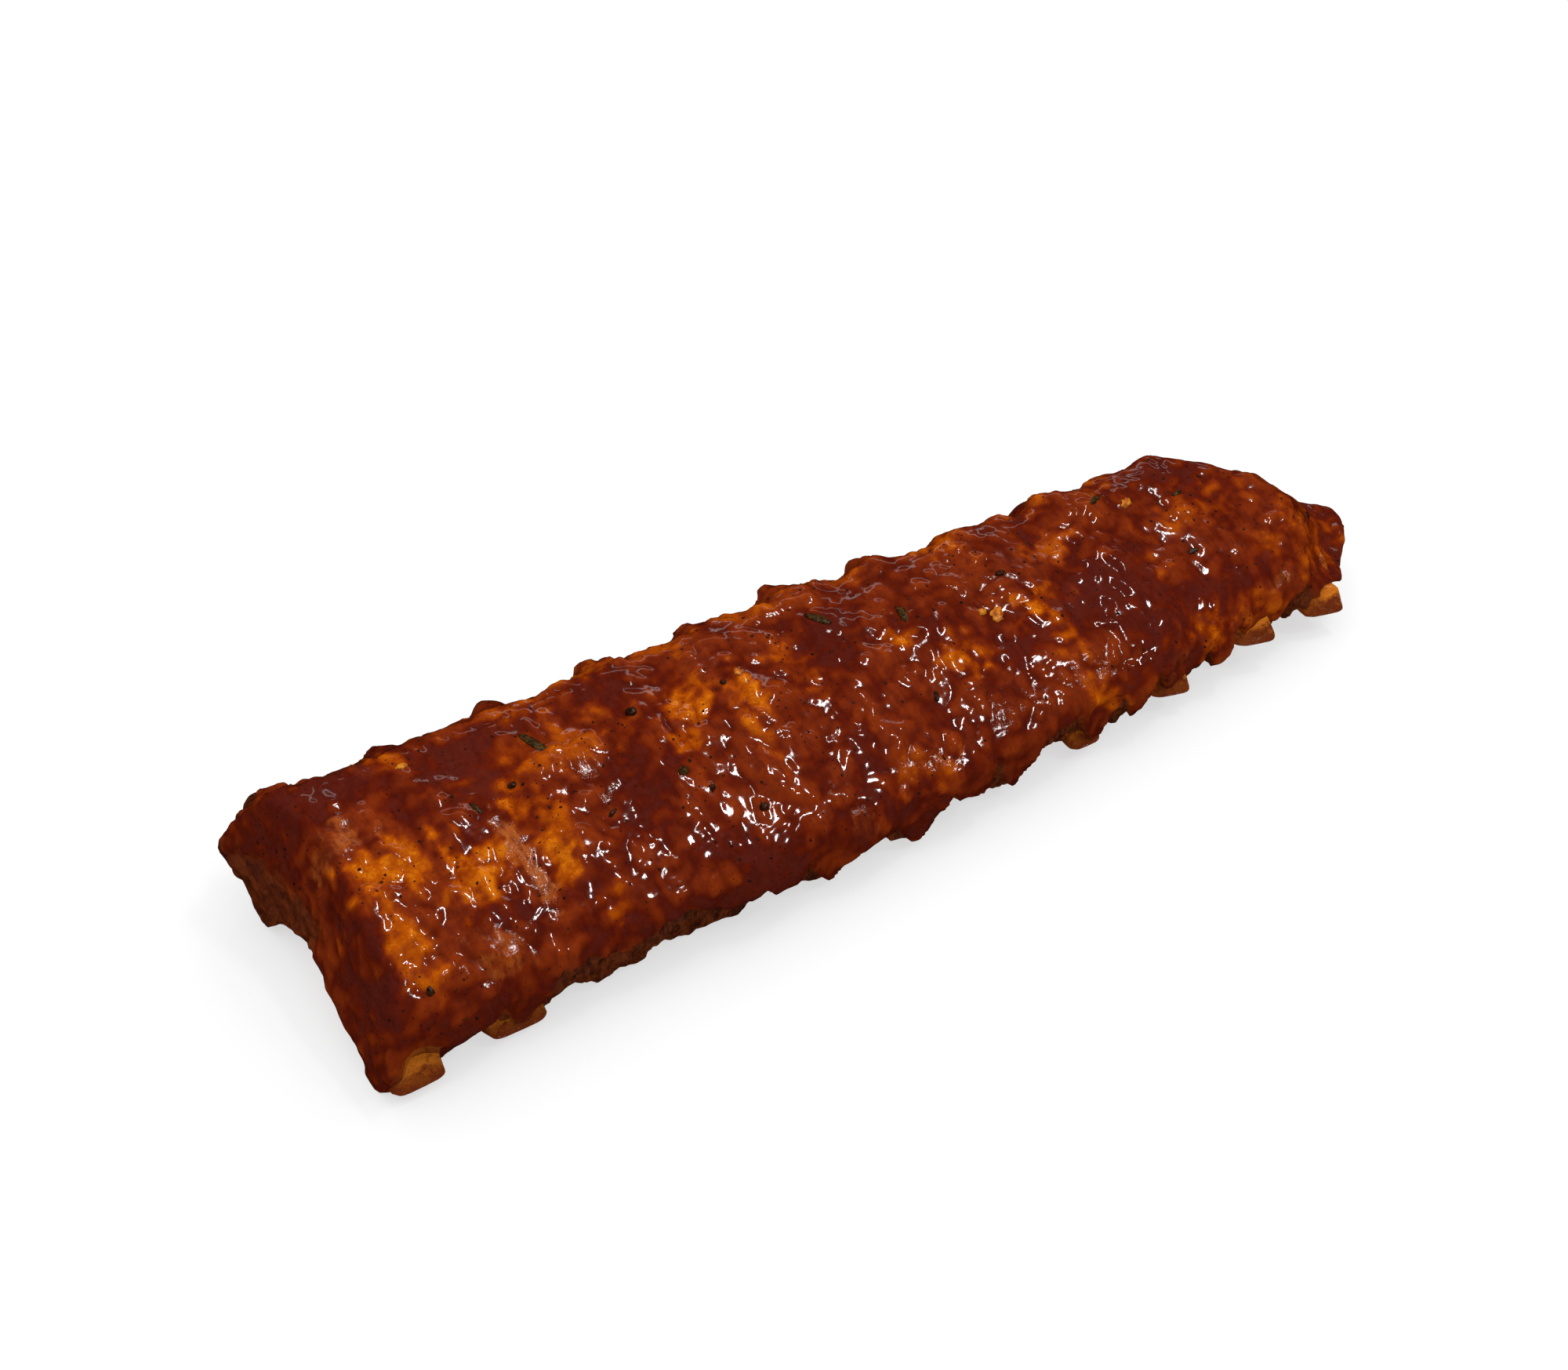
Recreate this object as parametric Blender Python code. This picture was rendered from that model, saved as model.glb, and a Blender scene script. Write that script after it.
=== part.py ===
"""A cooked slab of pork back ribs, lying meat side up.

The slab is one arched body of meat with twelve flattened, curved rib bones let into
its underside.  The bones show along the hollow underside and stand out of the front
edge.  +X runs along the slab from its thick end to its thin end, +Y runs from the
front edge, where the bones are sawn off, to the thick loin edge, and +Z is up.
The origin is under the middle of the slab, on the surface that it lies on.
"""

import math

import bmesh
import bpy
import numpy as np
from mathutils import Vector, noise

# The slab as a whole, in metres.
SLAB_LENGTH = 0.404
CROWN_HEIGHT = 0.0495
BACK_EDGE_THICK_END = 0.1045
BACK_EDGE_TAPER = 0.075
CROWN_LINE_THICK_END = 0.080
CROWN_LINE_TAPER = 0.055
FRONT_BOW = 0.0060
ARCH_RISE = 0.0175
FOOT_WIDTH = 0.011
BACK_FOOT_INSET = 0.014

# How the two ends are cut.
THICK_END_START = -0.0045
THICK_END_LEAN = 0.42
THICK_END_HEEL = 0.008
THICK_END_HEEL_HEIGHT = 0.022
THICK_END_HEEL_FROM = 0.060
THICK_END_HEEL_OVER = 0.040
THIN_END_SKEW = 0.060
THIN_END_SKEW_FROM = 0.022
THIN_END_SKEW_OVER = 0.073
THIN_END_CORNER = 0.022
THIN_END_CORNER_OVER = 0.030
THIN_END_DROP = 0.45
THIN_END_DROP_FROM = 0.370
THIN_END_DROP_OVER = 0.030
THIN_END_LIFT = 0.009
THIN_END_LIFT_FROM = 0.375
THIN_END_LIFT_OVER = 0.030
# Rings that round an end off: distance in from the end, and share drawn in.
END_ROUNDING = ((0.0, 0.36), (0.0020, 0.19), (0.0050, 0.07), (0.0105, 0.0))
END_NARROWING = 0.30
END_STRETCH = 0.150

# The ribs.  Rib i stands at FIRST + PITCH * i + SPREAD * i * i along the front edge.
RIB_COUNT = 12
RIB_FIRST = 0.0106
RIB_PITCH = 0.0349
RIB_SPREAD = 0.00017
LAST_RIB_X = 0.3975
RIB_SKEW = 0.012
RIB_SKEW_FROM = -0.010
RIB_SKEW_LENGTH = 0.330
BONE_HALF_WIDTH = 0.0064
BONE_HALF_THICKNESS = 0.0043
BONE_TIP_HEIGHT = 0.0049
BONE_ARCH_RISE = 0.0150
BONE_BACK_INSET = 0.013
BONE_TIP_OUT = -0.0060
BONE_TIP_IN = -0.0005
LAST_BONE_TIP = Vector((LAST_RIB_X, 0.0090, 0.0165))
LAST_BONE_RUN = Vector((-0.0030, 0.0210, 0.0020))
LAST_BONE_SLIMNESS = 0.75
SHORT_BONE_BACK = 0.043
COVERED_RIBS = range(2, 7)
BONE_END_ROUNDING = 0.0012
BONE_SIDES = 10
BONE_SEGMENTS = 8
BONE_LIFT = 0.0070
BONE_LIFT_FROM = 0.240
BONE_LIFT_OVER = 0.140
FIT_GAP = 0.0003
SLOT_DEPTH = 0.014
SKIRT_BELOW = 0.1
BONE_DIRECTION_STEP = 0.02

# Unevenness of the meat.
LUMP = 0.0040
LUMP_NARROWNESS = 1.4
LIP_LOBE = 0.0018
RIB_SWELL = 0.0008
UNEVEN_HEIGHT = 0.0016
UNEVEN_SCALE = 38.0
FLAT_BELOW = 0.004

STATIONS = 60
SAMPLES_PER_SPAN = 2

# Which samples of a section lie on its upper side and on its hollow underside.
UPPER_SIDE = slice(3 * SAMPLES_PER_SPAN, 11 * SAMPLES_PER_SPAN + 1)
UNDER_SIDE = slice(14 * SAMPLES_PER_SPAN, 18 * SAMPLES_PER_SPAN)
FRONT_FOOT = SAMPLES_PER_SPAN // 2
BACK_FOOT = 13 * SAMPLES_PER_SPAN + SAMPLES_PER_SPAN // 2

MEAT_COLOUR = (0.165, 0.034, 0.008, 1.0)
MEAT_ROUGHNESS = 0.25
BONE_COLOUR = (0.250, 0.098, 0.030, 1.0)
BONE_ROUGHNESS = 0.45


def clamp(value):
    """Return `value` held between 0 and 1."""
    return min(max(value, 0.0), 1.0)


def smooth_step(value):
    """Return 0 below 0, 1 above 1 and a smooth rise between them."""
    t = clamp(value)
    return t * t * (3.0 - 2.0 * t)


def rib_front_x(index):
    """Return where rib `index` crosses the front edge."""
    if index == RIB_COUNT - 1:
        return LAST_RIB_X
    return RIB_FIRST + RIB_PITCH * index + RIB_SPREAD * index * index


def rib_shift(x, y):
    """Return how far a rib has run towards the thin end by the time it is at depth `y`."""
    along = clamp((x - RIB_SKEW_FROM) / RIB_SKEW_LENGTH)
    return RIB_SKEW * (y / 0.1) * math.sin(math.pi * along)


def rib_swell(x, y):
    """Return 1 on a rib, -1 midway between two ribs and a smooth wave between them."""
    along = max(x - rib_shift(x, y) - RIB_FIRST, -0.02)
    root = math.sqrt(RIB_PITCH * RIB_PITCH + 4.0 * RIB_SPREAD * along)
    wave = 0.5 + 0.5 * math.cos(math.pi * (root - RIB_PITCH) / RIB_SPREAD)
    return 2.0 * wave ** LUMP_NARROWNESS - 1.0


def thin_end_factor(x):
    """Return the height of the slab at `x` as a share of its full height."""
    return 1.0 - THIN_END_DROP * smooth_step((x - THIN_END_DROP_FROM) / THIN_END_DROP_OVER)


def section_rows(x):
    """Return the corners of the slab's section at `x`.

    Each row is (y, z, out, up): a place, and how far it moves where a rib swells it.
    They run from the front foot up the front edge, over the crown, down the loin edge
    to the back foot, and back along the hollow underside.
    """
    factor = thin_end_factor(x)
    back = BACK_EDGE_THICK_END - BACK_EDGE_TAPER * x
    crown = CROWN_LINE_THICK_END - CROWN_LINE_TAPER * x
    bow = -FRONT_BOW * math.sin(math.pi * clamp(x / SLAB_LENGTH)) ** 2
    foot = THIN_END_LIFT * smooth_step((x - THIN_END_LIFT_FROM) / THIN_END_LIFT_OVER)
    full = CROWN_HEIGHT * factor - foot
    arch = ARCH_RISE * factor ** 2
    lump = factor * LUMP
    inner_front = FOOT_WIDTH + bow
    inner_back = back - BACK_FOOT_INSET - FOOT_WIDTH
    span = inner_back - inner_front
    return [
        (inner_front, foot, 0.0, 0.0),
        (0.003 + bow, foot, 0.0, 0.0),
        (-0.001 + bow, foot + 0.15 * full, 0.0, 0.0),
        (-0.005 + bow, foot + 0.36 * full, LIP_LOBE, LIP_LOBE),
        (-0.003 + bow, foot + 0.57 * full, 0.5 * LIP_LOBE, 0.0),
        (0.008 + 0.5 * bow, foot + 0.745 * full, 0.0, RIB_SWELL),
        (0.030, foot + 0.90 * full, 0.0, RIB_SWELL),
        (0.5 * (0.030 + crown), foot + 0.975 * full, 0.0, RIB_SWELL),
        (crown, foot + full, 0.0, RIB_SWELL),
        (0.45 * crown + 0.55 * back - 0.004, foot + 0.89 * full, 0.0, 0.3 * lump),
        (back - 0.007, foot + 0.68 * full, lump, lump),
        (back, foot + 0.45 * full, lump, 0.4 * lump),
        (back - 0.006, foot + 0.17 * full, 0.3 * lump, 0.0),
        (back - BACK_FOOT_INSET, foot, 0.0, 0.0),
        (inner_back, foot, 0.0, 0.0),
        (inner_back - 0.18 * span, foot + 0.60 * arch, 0.0, 0.0),
        (inner_back - 0.50 * span, foot + arch, 0.0, 0.0),
        (inner_front + 0.18 * span, foot + 0.60 * arch, 0.0, 0.0),
    ]


def closed_spline(rows, per_span):
    """Return a closed curve through `rows`, with `per_span` samples from each to the next."""
    ring = np.array(rows)
    curve = []
    for i in range(len(ring)):
        before, start, end, after = (ring[(i + k) % len(ring)] for k in (-1, 0, 1, 2))
        for step in range(per_span):
            t = step / per_span
            bend = (end - before) * t + (2 * before - 5 * start + 4 * end - after) * t ** 2
            bend += (3 * start - before - 3 * end + after) * t ** 3
            curve.append(start + 0.5 * bend)
    return np.array(curve)


def place_along(nominal, y, z):
    """Return the place along X of the point (y, z) of the section at `nominal`.

    The two cut ends are neither flat nor square, and the slab stretches to meet them.
    """
    heel = THICK_END_HEEL * smooth_step((y - THICK_END_HEEL_FROM) / THICK_END_HEEL_OVER)
    begin = THICK_END_START + THICK_END_LEAN * z - heel * smooth_step(z / THICK_END_HEEL_HEIGHT)
    cut = THIN_END_SKEW * smooth_step((y - THIN_END_SKEW_FROM) / THIN_END_SKEW_OVER)
    corner = THIN_END_CORNER * smooth_step((THIN_END_SKEW_FROM - y) / THIN_END_CORNER_OVER)
    from_thick_end = 1.0 - smooth_step(nominal / END_STRETCH)
    from_thin_end = 1.0 - smooth_step((SLAB_LENGTH - nominal) / END_STRETCH)
    return nominal + begin * from_thick_end - (cut + corner) * from_thin_end


def uneven(x, y, z):
    """Return a small smooth offset that makes the meat's surface uneven."""
    return UNEVEN_HEIGHT * noise.noise(Vector((x, y, z)) * UNEVEN_SCALE)


def slab_ring(share, inset, tuck):
    """Return one ring of the slab.

    `share` is the place along the slab from 0 to 1, `inset` moves the ring in from the
    nearer end, and `tuck` draws it in towards the middle of the meat's thickness.
    """
    nominal = share * SLAB_LENGTH + (inset if share < 0.5 else -inset)
    curve = closed_spline(section_rows(share * SLAB_LENGTH), SAMPLES_PER_SPAN)
    upper = curve[UPPER_SIDE, :2]
    under = curve[UNDER_SIDE, :2][::-1]
    core = 0.5 * (curve[:, 0].min() + curve[:, 0].max())
    ring = []
    for y, z, out, up in curve:
        swell = rib_swell(place_along(nominal, y, z), y)
        y += out * swell
        z += up * swell
        middle = 0.5 * (np.interp(y, *upper.T) + np.interp(y, *under.T))
        y += (core - y) * tuck * END_NARROWING
        z += (middle - z) * tuck
        x = place_along(nominal, y, z)
        if z > FLAT_BELOW:
            z += uneven(x, y, z) * z / CROWN_HEIGHT
        ring.append((x, y, max(z, 0.0)))
    return ring


def chain_shares(chain):
    """Return how far along its own length each vertex of `chain` lies, from 0 to 1."""
    steps = [(b.co - a.co).length for a, b in zip(chain, chain[1:])]
    return np.concatenate(([0.0], np.cumsum(steps))) / sum(steps)


def close_end(mesh_builder, loop):
    """Close one end of the slab with triangles between its upper side and its underside."""
    upper = loop[FRONT_FOOT:BACK_FOOT + 1]
    under = loop[BACK_FOOT:] + loop[:FRONT_FOOT + 1]
    under.reverse()
    upper_share = chain_shares(upper)
    under_share = chain_shares(under)
    i = 0
    j = 0
    while i < len(upper) - 1 or j < len(under) - 1:
        take_upper = j == len(under) - 1 or (
            i < len(upper) - 1 and upper_share[i + 1] <= under_share[j + 1]
        )
        step = upper[i + 1] if take_upper else under[j + 1]
        corners = [upper[i], under[j], step]
        if len(set(corners)) == 3:
            mesh_builder.faces.new(corners)
        i += int(take_upper)
        j += int(not take_upper)


def add_tube(mesh_builder, rings):
    """Add the wall that joins `rings` one after the other, and return its end loops."""
    loops = [[mesh_builder.verts.new(point) for point in ring] for ring in rings]
    for lower, upper in zip(loops, loops[1:]):
        for i in range(len(lower)):
            j = (i + 1) % len(lower)
            mesh_builder.faces.new((lower[i], lower[j], upper[j], upper[i]))
    return loops[0], loops[-1]


def finish_object(name, mesh_builder, colour, roughness):
    """Turn a finished bmesh into an object with its own material."""
    bmesh.ops.recalc_face_normals(mesh_builder, faces=mesh_builder.faces)
    mesh = bpy.data.meshes.new(name)
    mesh_builder.to_mesh(mesh)
    mesh_builder.free()
    mesh.shade_smooth()
    mesh.materials.append(make_material(name + "_finish", colour, roughness))
    obj = bpy.data.objects.new(name, mesh)
    bpy.context.scene.collection.objects.link(obj)
    return obj


def add_slab():
    """Make the slab of meat, without the slots for its bones."""
    rings = [slab_ring(0.0, inset, tuck) for inset, tuck in END_ROUNDING]
    clear = math.ceil(END_ROUNDING[-1][0] * STATIONS / SLAB_LENGTH) + 1
    rings += [slab_ring(k / STATIONS, 0.0, 0.0) for k in range(clear, STATIONS - clear + 1)]
    rings += [slab_ring(1.0, inset, tuck) for inset, tuck in reversed(END_ROUNDING)]
    mesh_builder = bmesh.new()
    for loop in add_tube(mesh_builder, rings):
        close_end(mesh_builder, loop)
    return finish_object("meat", mesh_builder, MEAT_COLOUR, MEAT_ROUGHNESS)


def add_rods(name, rods):
    """Make one object of closed rods, each given by its rings."""
    mesh_builder = bmesh.new()
    for rings in rods:
        for loop in add_tube(mesh_builder, rings):
            mesh_builder.faces.new(loop)
    return finish_object(name, mesh_builder, BONE_COLOUR, BONE_ROUGHNESS)


def make_material(name, colour, roughness):
    """Return a plain Principled material."""
    material = bpy.data.materials.new(name)
    material.use_nodes = True
    shader = material.node_tree.nodes["Principled BSDF"]
    shader.inputs["Base Color"].default_value = colour
    shader.inputs["Roughness"].default_value = roughness
    shader.inputs["Metallic"].default_value = 0.0
    return material


def bone_centre(index, t):
    """Return the centre line of bone `index` at `t`, from 0 at its sawn end to 1 at the back."""
    if index == RIB_COUNT - 1:
        return LAST_BONE_TIP + LAST_BONE_RUN * t
    front = rib_front_x(index)
    edge = BACK_EDGE_THICK_END - BACK_EDGE_TAPER * front - BONE_BACK_INSET
    back = SHORT_BONE_BACK if index == RIB_COUNT - 2 else edge
    tip = BONE_TIP_IN if index in COVERED_RIBS else BONE_TIP_OUT
    y = tip + (back - tip) * t
    arch = max(0.0, 1.0 - ((y - 0.5 * edge) / (0.5 * edge)) ** 2)
    lift = BONE_LIFT * smooth_step((front - BONE_LIFT_FROM) / BONE_LIFT_OVER) * (1.0 - t)
    z = BONE_TIP_HEIGHT + BONE_ARCH_RISE * arch * thin_end_factor(front) + lift
    return Vector((front + rib_shift(front, y), y, z))


def bone_direction(index, t):
    """Return the direction of bone `index` at `t`, towards the back."""
    behind = bone_centre(index, max(t - BONE_DIRECTION_STEP, 0.0))
    ahead = bone_centre(index, min(t + BONE_DIRECTION_STEP, 1.0))
    return (ahead - behind).normalized()


def bone_ring(centre, ahead, half_width, half_thickness, skirt):
    """Return one flattened ring round `centre`; a `skirt` drops its lower half by that much."""
    side = ahead.cross(Vector((0.0, 0.0, 1.0))).normalized()
    up = side.cross(ahead)
    ring = []
    for corner in range(BONE_SIDES):
        angle = 2.0 * math.pi * corner / BONE_SIDES
        lower = math.sin(angle) < -SKIRT_BELOW
        height = -skirt if skirt and lower else half_thickness * math.sin(angle)
        ring.append(centre + side * half_width * math.cos(angle) + up * height)
    return ring


def bone_rings(index):
    """Return the rings of bone `index`, with rounded edges on its two ends."""
    slim = LAST_BONE_SLIMNESS if index == RIB_COUNT - 1 else 1.0
    width = BONE_HALF_WIDTH * slim
    thickness = BONE_HALF_THICKNESS * slim
    rings = []
    for k in range(BONE_SEGMENTS + 1):
        t = k / BONE_SEGMENTS
        centre = bone_centre(index, t)
        ahead = bone_direction(index, t)
        inward = ahead * BONE_END_ROUNDING * ((k == 0) - (k == BONE_SEGMENTS))
        rings.append(bone_ring(centre + inward, ahead, width, thickness, 0.0))
        if k in (0, BONE_SEGMENTS):
            narrow = width - BONE_END_ROUNDING
            thin = thickness - BONE_END_ROUNDING
            place = 0 if k == 0 else len(rings)
            rings.insert(place, bone_ring(centre, ahead, narrow, thin, 0.0))
    return rings


def slot_rings(index):
    """Return the rings of the slot that bone `index` lies in, open downwards."""
    slim = LAST_BONE_SLIMNESS if index == RIB_COUNT - 1 else 1.0
    width = BONE_HALF_WIDTH * slim + FIT_GAP
    thickness = BONE_HALF_THICKNESS * slim + FIT_GAP
    rings = []
    for k in range(BONE_SEGMENTS + 1):
        t = k / BONE_SEGMENTS
        ahead = bone_direction(index, t)
        outward = ahead * FIT_GAP * ((k == BONE_SEGMENTS) - (k == 0))
        rings.append(bone_ring(bone_centre(index, t) + outward, ahead, width, thickness, SLOT_DEPTH))
    return rings


def settle(objects, cutter):
    """Move all meshes so that the origin is under the middle of the box of `objects`."""
    corners = np.array([vert.co[:] for obj in objects for vert in obj.data.vertices])
    low = corners.min(axis=0)
    high = corners.max(axis=0)
    shift = Vector((-0.5 * (low[0] + high[0]), -0.5 * (low[1] + high[1]), -low[2]))
    for obj in objects + [cutter]:
        for vert in obj.data.vertices:
            vert.co += shift


def main():
    """Build the slab and its bones."""
    for obj in list(bpy.data.objects):
        bpy.data.objects.remove(obj, do_unlink=True)

    meat = add_slab()
    bones = [add_rods(f"rib_bone_{i + 1:02d}", [bone_rings(i)]) for i in range(RIB_COUNT)]
    slots = add_rods("rib_slots", [slot_rings(i) for i in range(RIB_COUNT)])
    slots.hide_render = True
    slots.display_type = "WIRE"
    settle([meat] + bones, slots)

    cut = meat.modifiers.new("rib_slots", "BOOLEAN")
    cut.operation = "DIFFERENCE"
    cut.solver = "EXACT"
    cut.object = slots


if __name__ == "__main__":
    main()
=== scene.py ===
"""A cooked, glazed rack of pork back ribs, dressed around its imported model.

The rack lies meat side up along +X, from its thick end to its thin end.  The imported
solids give its place and its bones; this script lays the uneven meat, the sauce, the
bones' finish and the loose seasoning over them.
"""

import logging
import math
from dataclasses import dataclass, field
from enum import Enum
from typing import Union

import bmesh
import bpy
import numpy as np
from mathutils import Matrix, Quaternion, Vector


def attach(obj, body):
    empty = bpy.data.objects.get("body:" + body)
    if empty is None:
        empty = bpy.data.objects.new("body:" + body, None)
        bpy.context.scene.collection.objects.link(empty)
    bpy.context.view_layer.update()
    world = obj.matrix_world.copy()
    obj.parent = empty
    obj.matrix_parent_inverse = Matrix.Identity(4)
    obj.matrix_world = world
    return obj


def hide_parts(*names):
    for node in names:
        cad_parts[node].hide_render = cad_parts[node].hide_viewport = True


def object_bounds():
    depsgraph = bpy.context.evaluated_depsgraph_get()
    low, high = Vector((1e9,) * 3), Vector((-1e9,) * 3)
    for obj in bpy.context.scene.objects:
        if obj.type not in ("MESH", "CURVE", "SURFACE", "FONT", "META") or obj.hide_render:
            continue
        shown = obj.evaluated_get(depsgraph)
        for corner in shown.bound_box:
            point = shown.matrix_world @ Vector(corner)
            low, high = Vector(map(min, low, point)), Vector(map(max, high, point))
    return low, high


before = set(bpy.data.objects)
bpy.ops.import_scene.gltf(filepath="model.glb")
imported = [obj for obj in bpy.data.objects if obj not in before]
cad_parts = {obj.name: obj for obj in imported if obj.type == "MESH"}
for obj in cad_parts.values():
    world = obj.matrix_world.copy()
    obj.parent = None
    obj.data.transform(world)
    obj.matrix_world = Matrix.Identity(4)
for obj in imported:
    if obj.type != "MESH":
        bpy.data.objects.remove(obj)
CAD_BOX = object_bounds()

log = logging.getLogger("rack_of_ribs")

Array = np.ndarray
Colour = tuple[float, float, float, float]
Place = tuple[float, float, float]
Range = tuple[float, float]

MM = 0.001
TINY = 1e-6


# ---------------------------------------------------------------- numbers


def smooth(value: Array) -> Array:
    """Return 0 below 0, 1 above 1 and a smooth rise between them."""
    share = np.clip(value, 0.0, 1.0)
    return share * share * (3.0 - 2.0 * share)


def soft_excess(value: Array, knee: float) -> Array:
    """Return `value` where it is well above zero, nothing well below, bending over `knee`."""
    return 0.5 * (value + np.sqrt(value * value + knee * knee))


def read_rows(items: bpy.types.bpy_prop_collection, name: str, width: int, kind: type) -> Array:
    """Return the values called `name` of all of a mesh's `items`.

    Args:
        items: the mesh's vertices, edges or normals.
        name: which of their values to read.
        width: how many numbers each item has.
        kind: the numbers' type, float or int.

    Returns:
        An array with a row for each item.
    """
    values = np.empty(width * len(items), kind)
    items.foreach_get(name, values)
    return values.reshape(-1, width)


def store(mesh: bpy.types.Mesh, name: str, values: Array) -> None:
    """Keep `values`, one for each vertex, in the mesh as attribute `name`."""
    attribute = mesh.attributes.new(name, "FLOAT", "POINT")
    attribute.data.foreach_set("value", values.astype(np.float32))


@dataclass(frozen=True)
class Ramp:
    """A smooth change from 0 to 1 that begins at `start` and takes the distance `over`."""

    start: float
    over: float

    def rise(self, value: Array) -> Array:
        """Return 0 before the ramp and 1 past it."""
        return smooth((value - self.start) / self.over)

    def fall(self, value: Array) -> Array:
        """Return 1 before the ramp and 0 past it."""
        return 1.0 - self.rise(value)


class GradientNoise:
    """Smooth seeded noise of about -1 to 1, with features one unit across."""

    TABLE = 256
    GAIN = 1.6
    LAYER_STEP = 17.3

    def __init__(self, seed: int) -> None:
        """Shuffle the noise's table.

        Args:
            seed: the seed of the draws.
        """
        draws = np.random.default_rng(seed)
        self.order = np.tile(draws.permutation(self.TABLE), 2)
        slopes = draws.normal(size=(self.TABLE, 3))
        self.slopes = slopes / np.linalg.norm(slopes, axis=1, keepdims=True)

    def at(self, points: Array) -> Array:
        """Return the noise at each of `points`.

        Args:
            points: an array of shape (count, 3), in units of the noise's features.

        Returns:
            An array of `count` values.
        """
        cell = np.floor(points).astype(int)
        inside = points - cell
        fade = inside ** 3 * (inside * (inside * 6.0 - 15.0) + 10.0)
        total = np.zeros(len(points))
        for corner in np.ndindex(2, 2, 2):
            x, y, z = ((cell + corner) & (self.TABLE - 1)).T
            slope = self.slopes[self.order[self.order[self.order[x] + y] + z]]
            weight = np.prod(np.where(corner, fade, 1.0 - fade), axis=1)
            total += weight * np.einsum("ij,ij->i", slope, inside - corner)
        return self.GAIN * total

    def layered(self, points: Array, layers: int) -> Array:
        """Return layers of the noise, each twice as fine and half as strong as the last.

        Args:
            points: an array of shape (count, 3), in units of the first layer's features.
            layers: the number of layers.

        Returns:
            An array of `count` values.
        """
        total = np.zeros(len(points))
        for layer in range(layers):
            total += self.at(points * 2.0 ** layer + self.LAYER_STEP * layer) / 2.0 ** layer
        return total


class Wave(Enum):
    """The ways in which a layer of relief rises and falls."""

    ROLLING = "rolling"
    CREASED = "creased"


@dataclass(frozen=True)
class Layer:
    """One layer of seeded relief, `span` across and `height` high, in millimetres.

    A rolling layer swells as much as it sinks.  A creased one has round lumps with narrow
    furrows between them, and `level` is the part of it that lies below zero.
    """

    seed: int
    span: float
    height: float
    wave: Wave = Wave.ROLLING
    level: float = 0.30

    def at(self, spots: Array) -> Array:
        """Return the layer's height.

        Args:
            spots: where to find it, an array of shape (count, 3), in millimetres.

        Returns:
            An array of `count` heights, in millimetres.
        """
        swell = GradientNoise(self.seed).at(spots / self.span)
        if self.wave is Wave.CREASED:
            swell = np.abs(swell) - self.level
        return self.height * swell


@dataclass(frozen=True)
class Pimples:
    """Scattered round bumps, at most one to a cell of a seeded grid, in millimetres."""

    seed: int
    span: float
    height: float
    share: float = 0.45

    def at(self, spots: Array) -> Array:
        """Return the height of the bumps.

        Args:
            spots: where to find it, an array of shape (count, 3), in millimetres.

        Returns:
            An array of `count` heights, in millimetres.
        """
        draws = np.random.default_rng(self.seed)
        table = GradientNoise.TABLE
        order = np.tile(draws.permutation(table), 2)
        place = draws.uniform(0.1, 0.9, size=(table, 3))
        size = draws.uniform(0.22, 0.5, size=table)
        rise = draws.uniform(0.0, 1.0, size=table)
        points = spots / self.span
        cell = np.floor(points).astype(int)
        total = np.zeros(len(points))
        for step in np.ndindex(3, 3, 3):
            near = cell + step - 1
            x, y, z = (near & (table - 1)).T
            pick = order[order[order[x] + y] + z]
            gap = np.linalg.norm(points - near - place[pick], axis=1)
            dome = smooth(1.0 - gap / size[pick]) * (0.4 + 0.6 * rise[pick])
            total = np.maximum(total, np.where(rise[pick] < self.share, dome, 0.0))
        return self.height * total


def piled(layers: tuple[Layer | Pimples, ...], spots: Array) -> Array:
    """Return the height of all of `layers` together at each of `spots`, in millimetres."""
    return sum(layer.at(spots) for layer in layers)


# ---------------------------------------------------------------- the slab's smooth form


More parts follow.
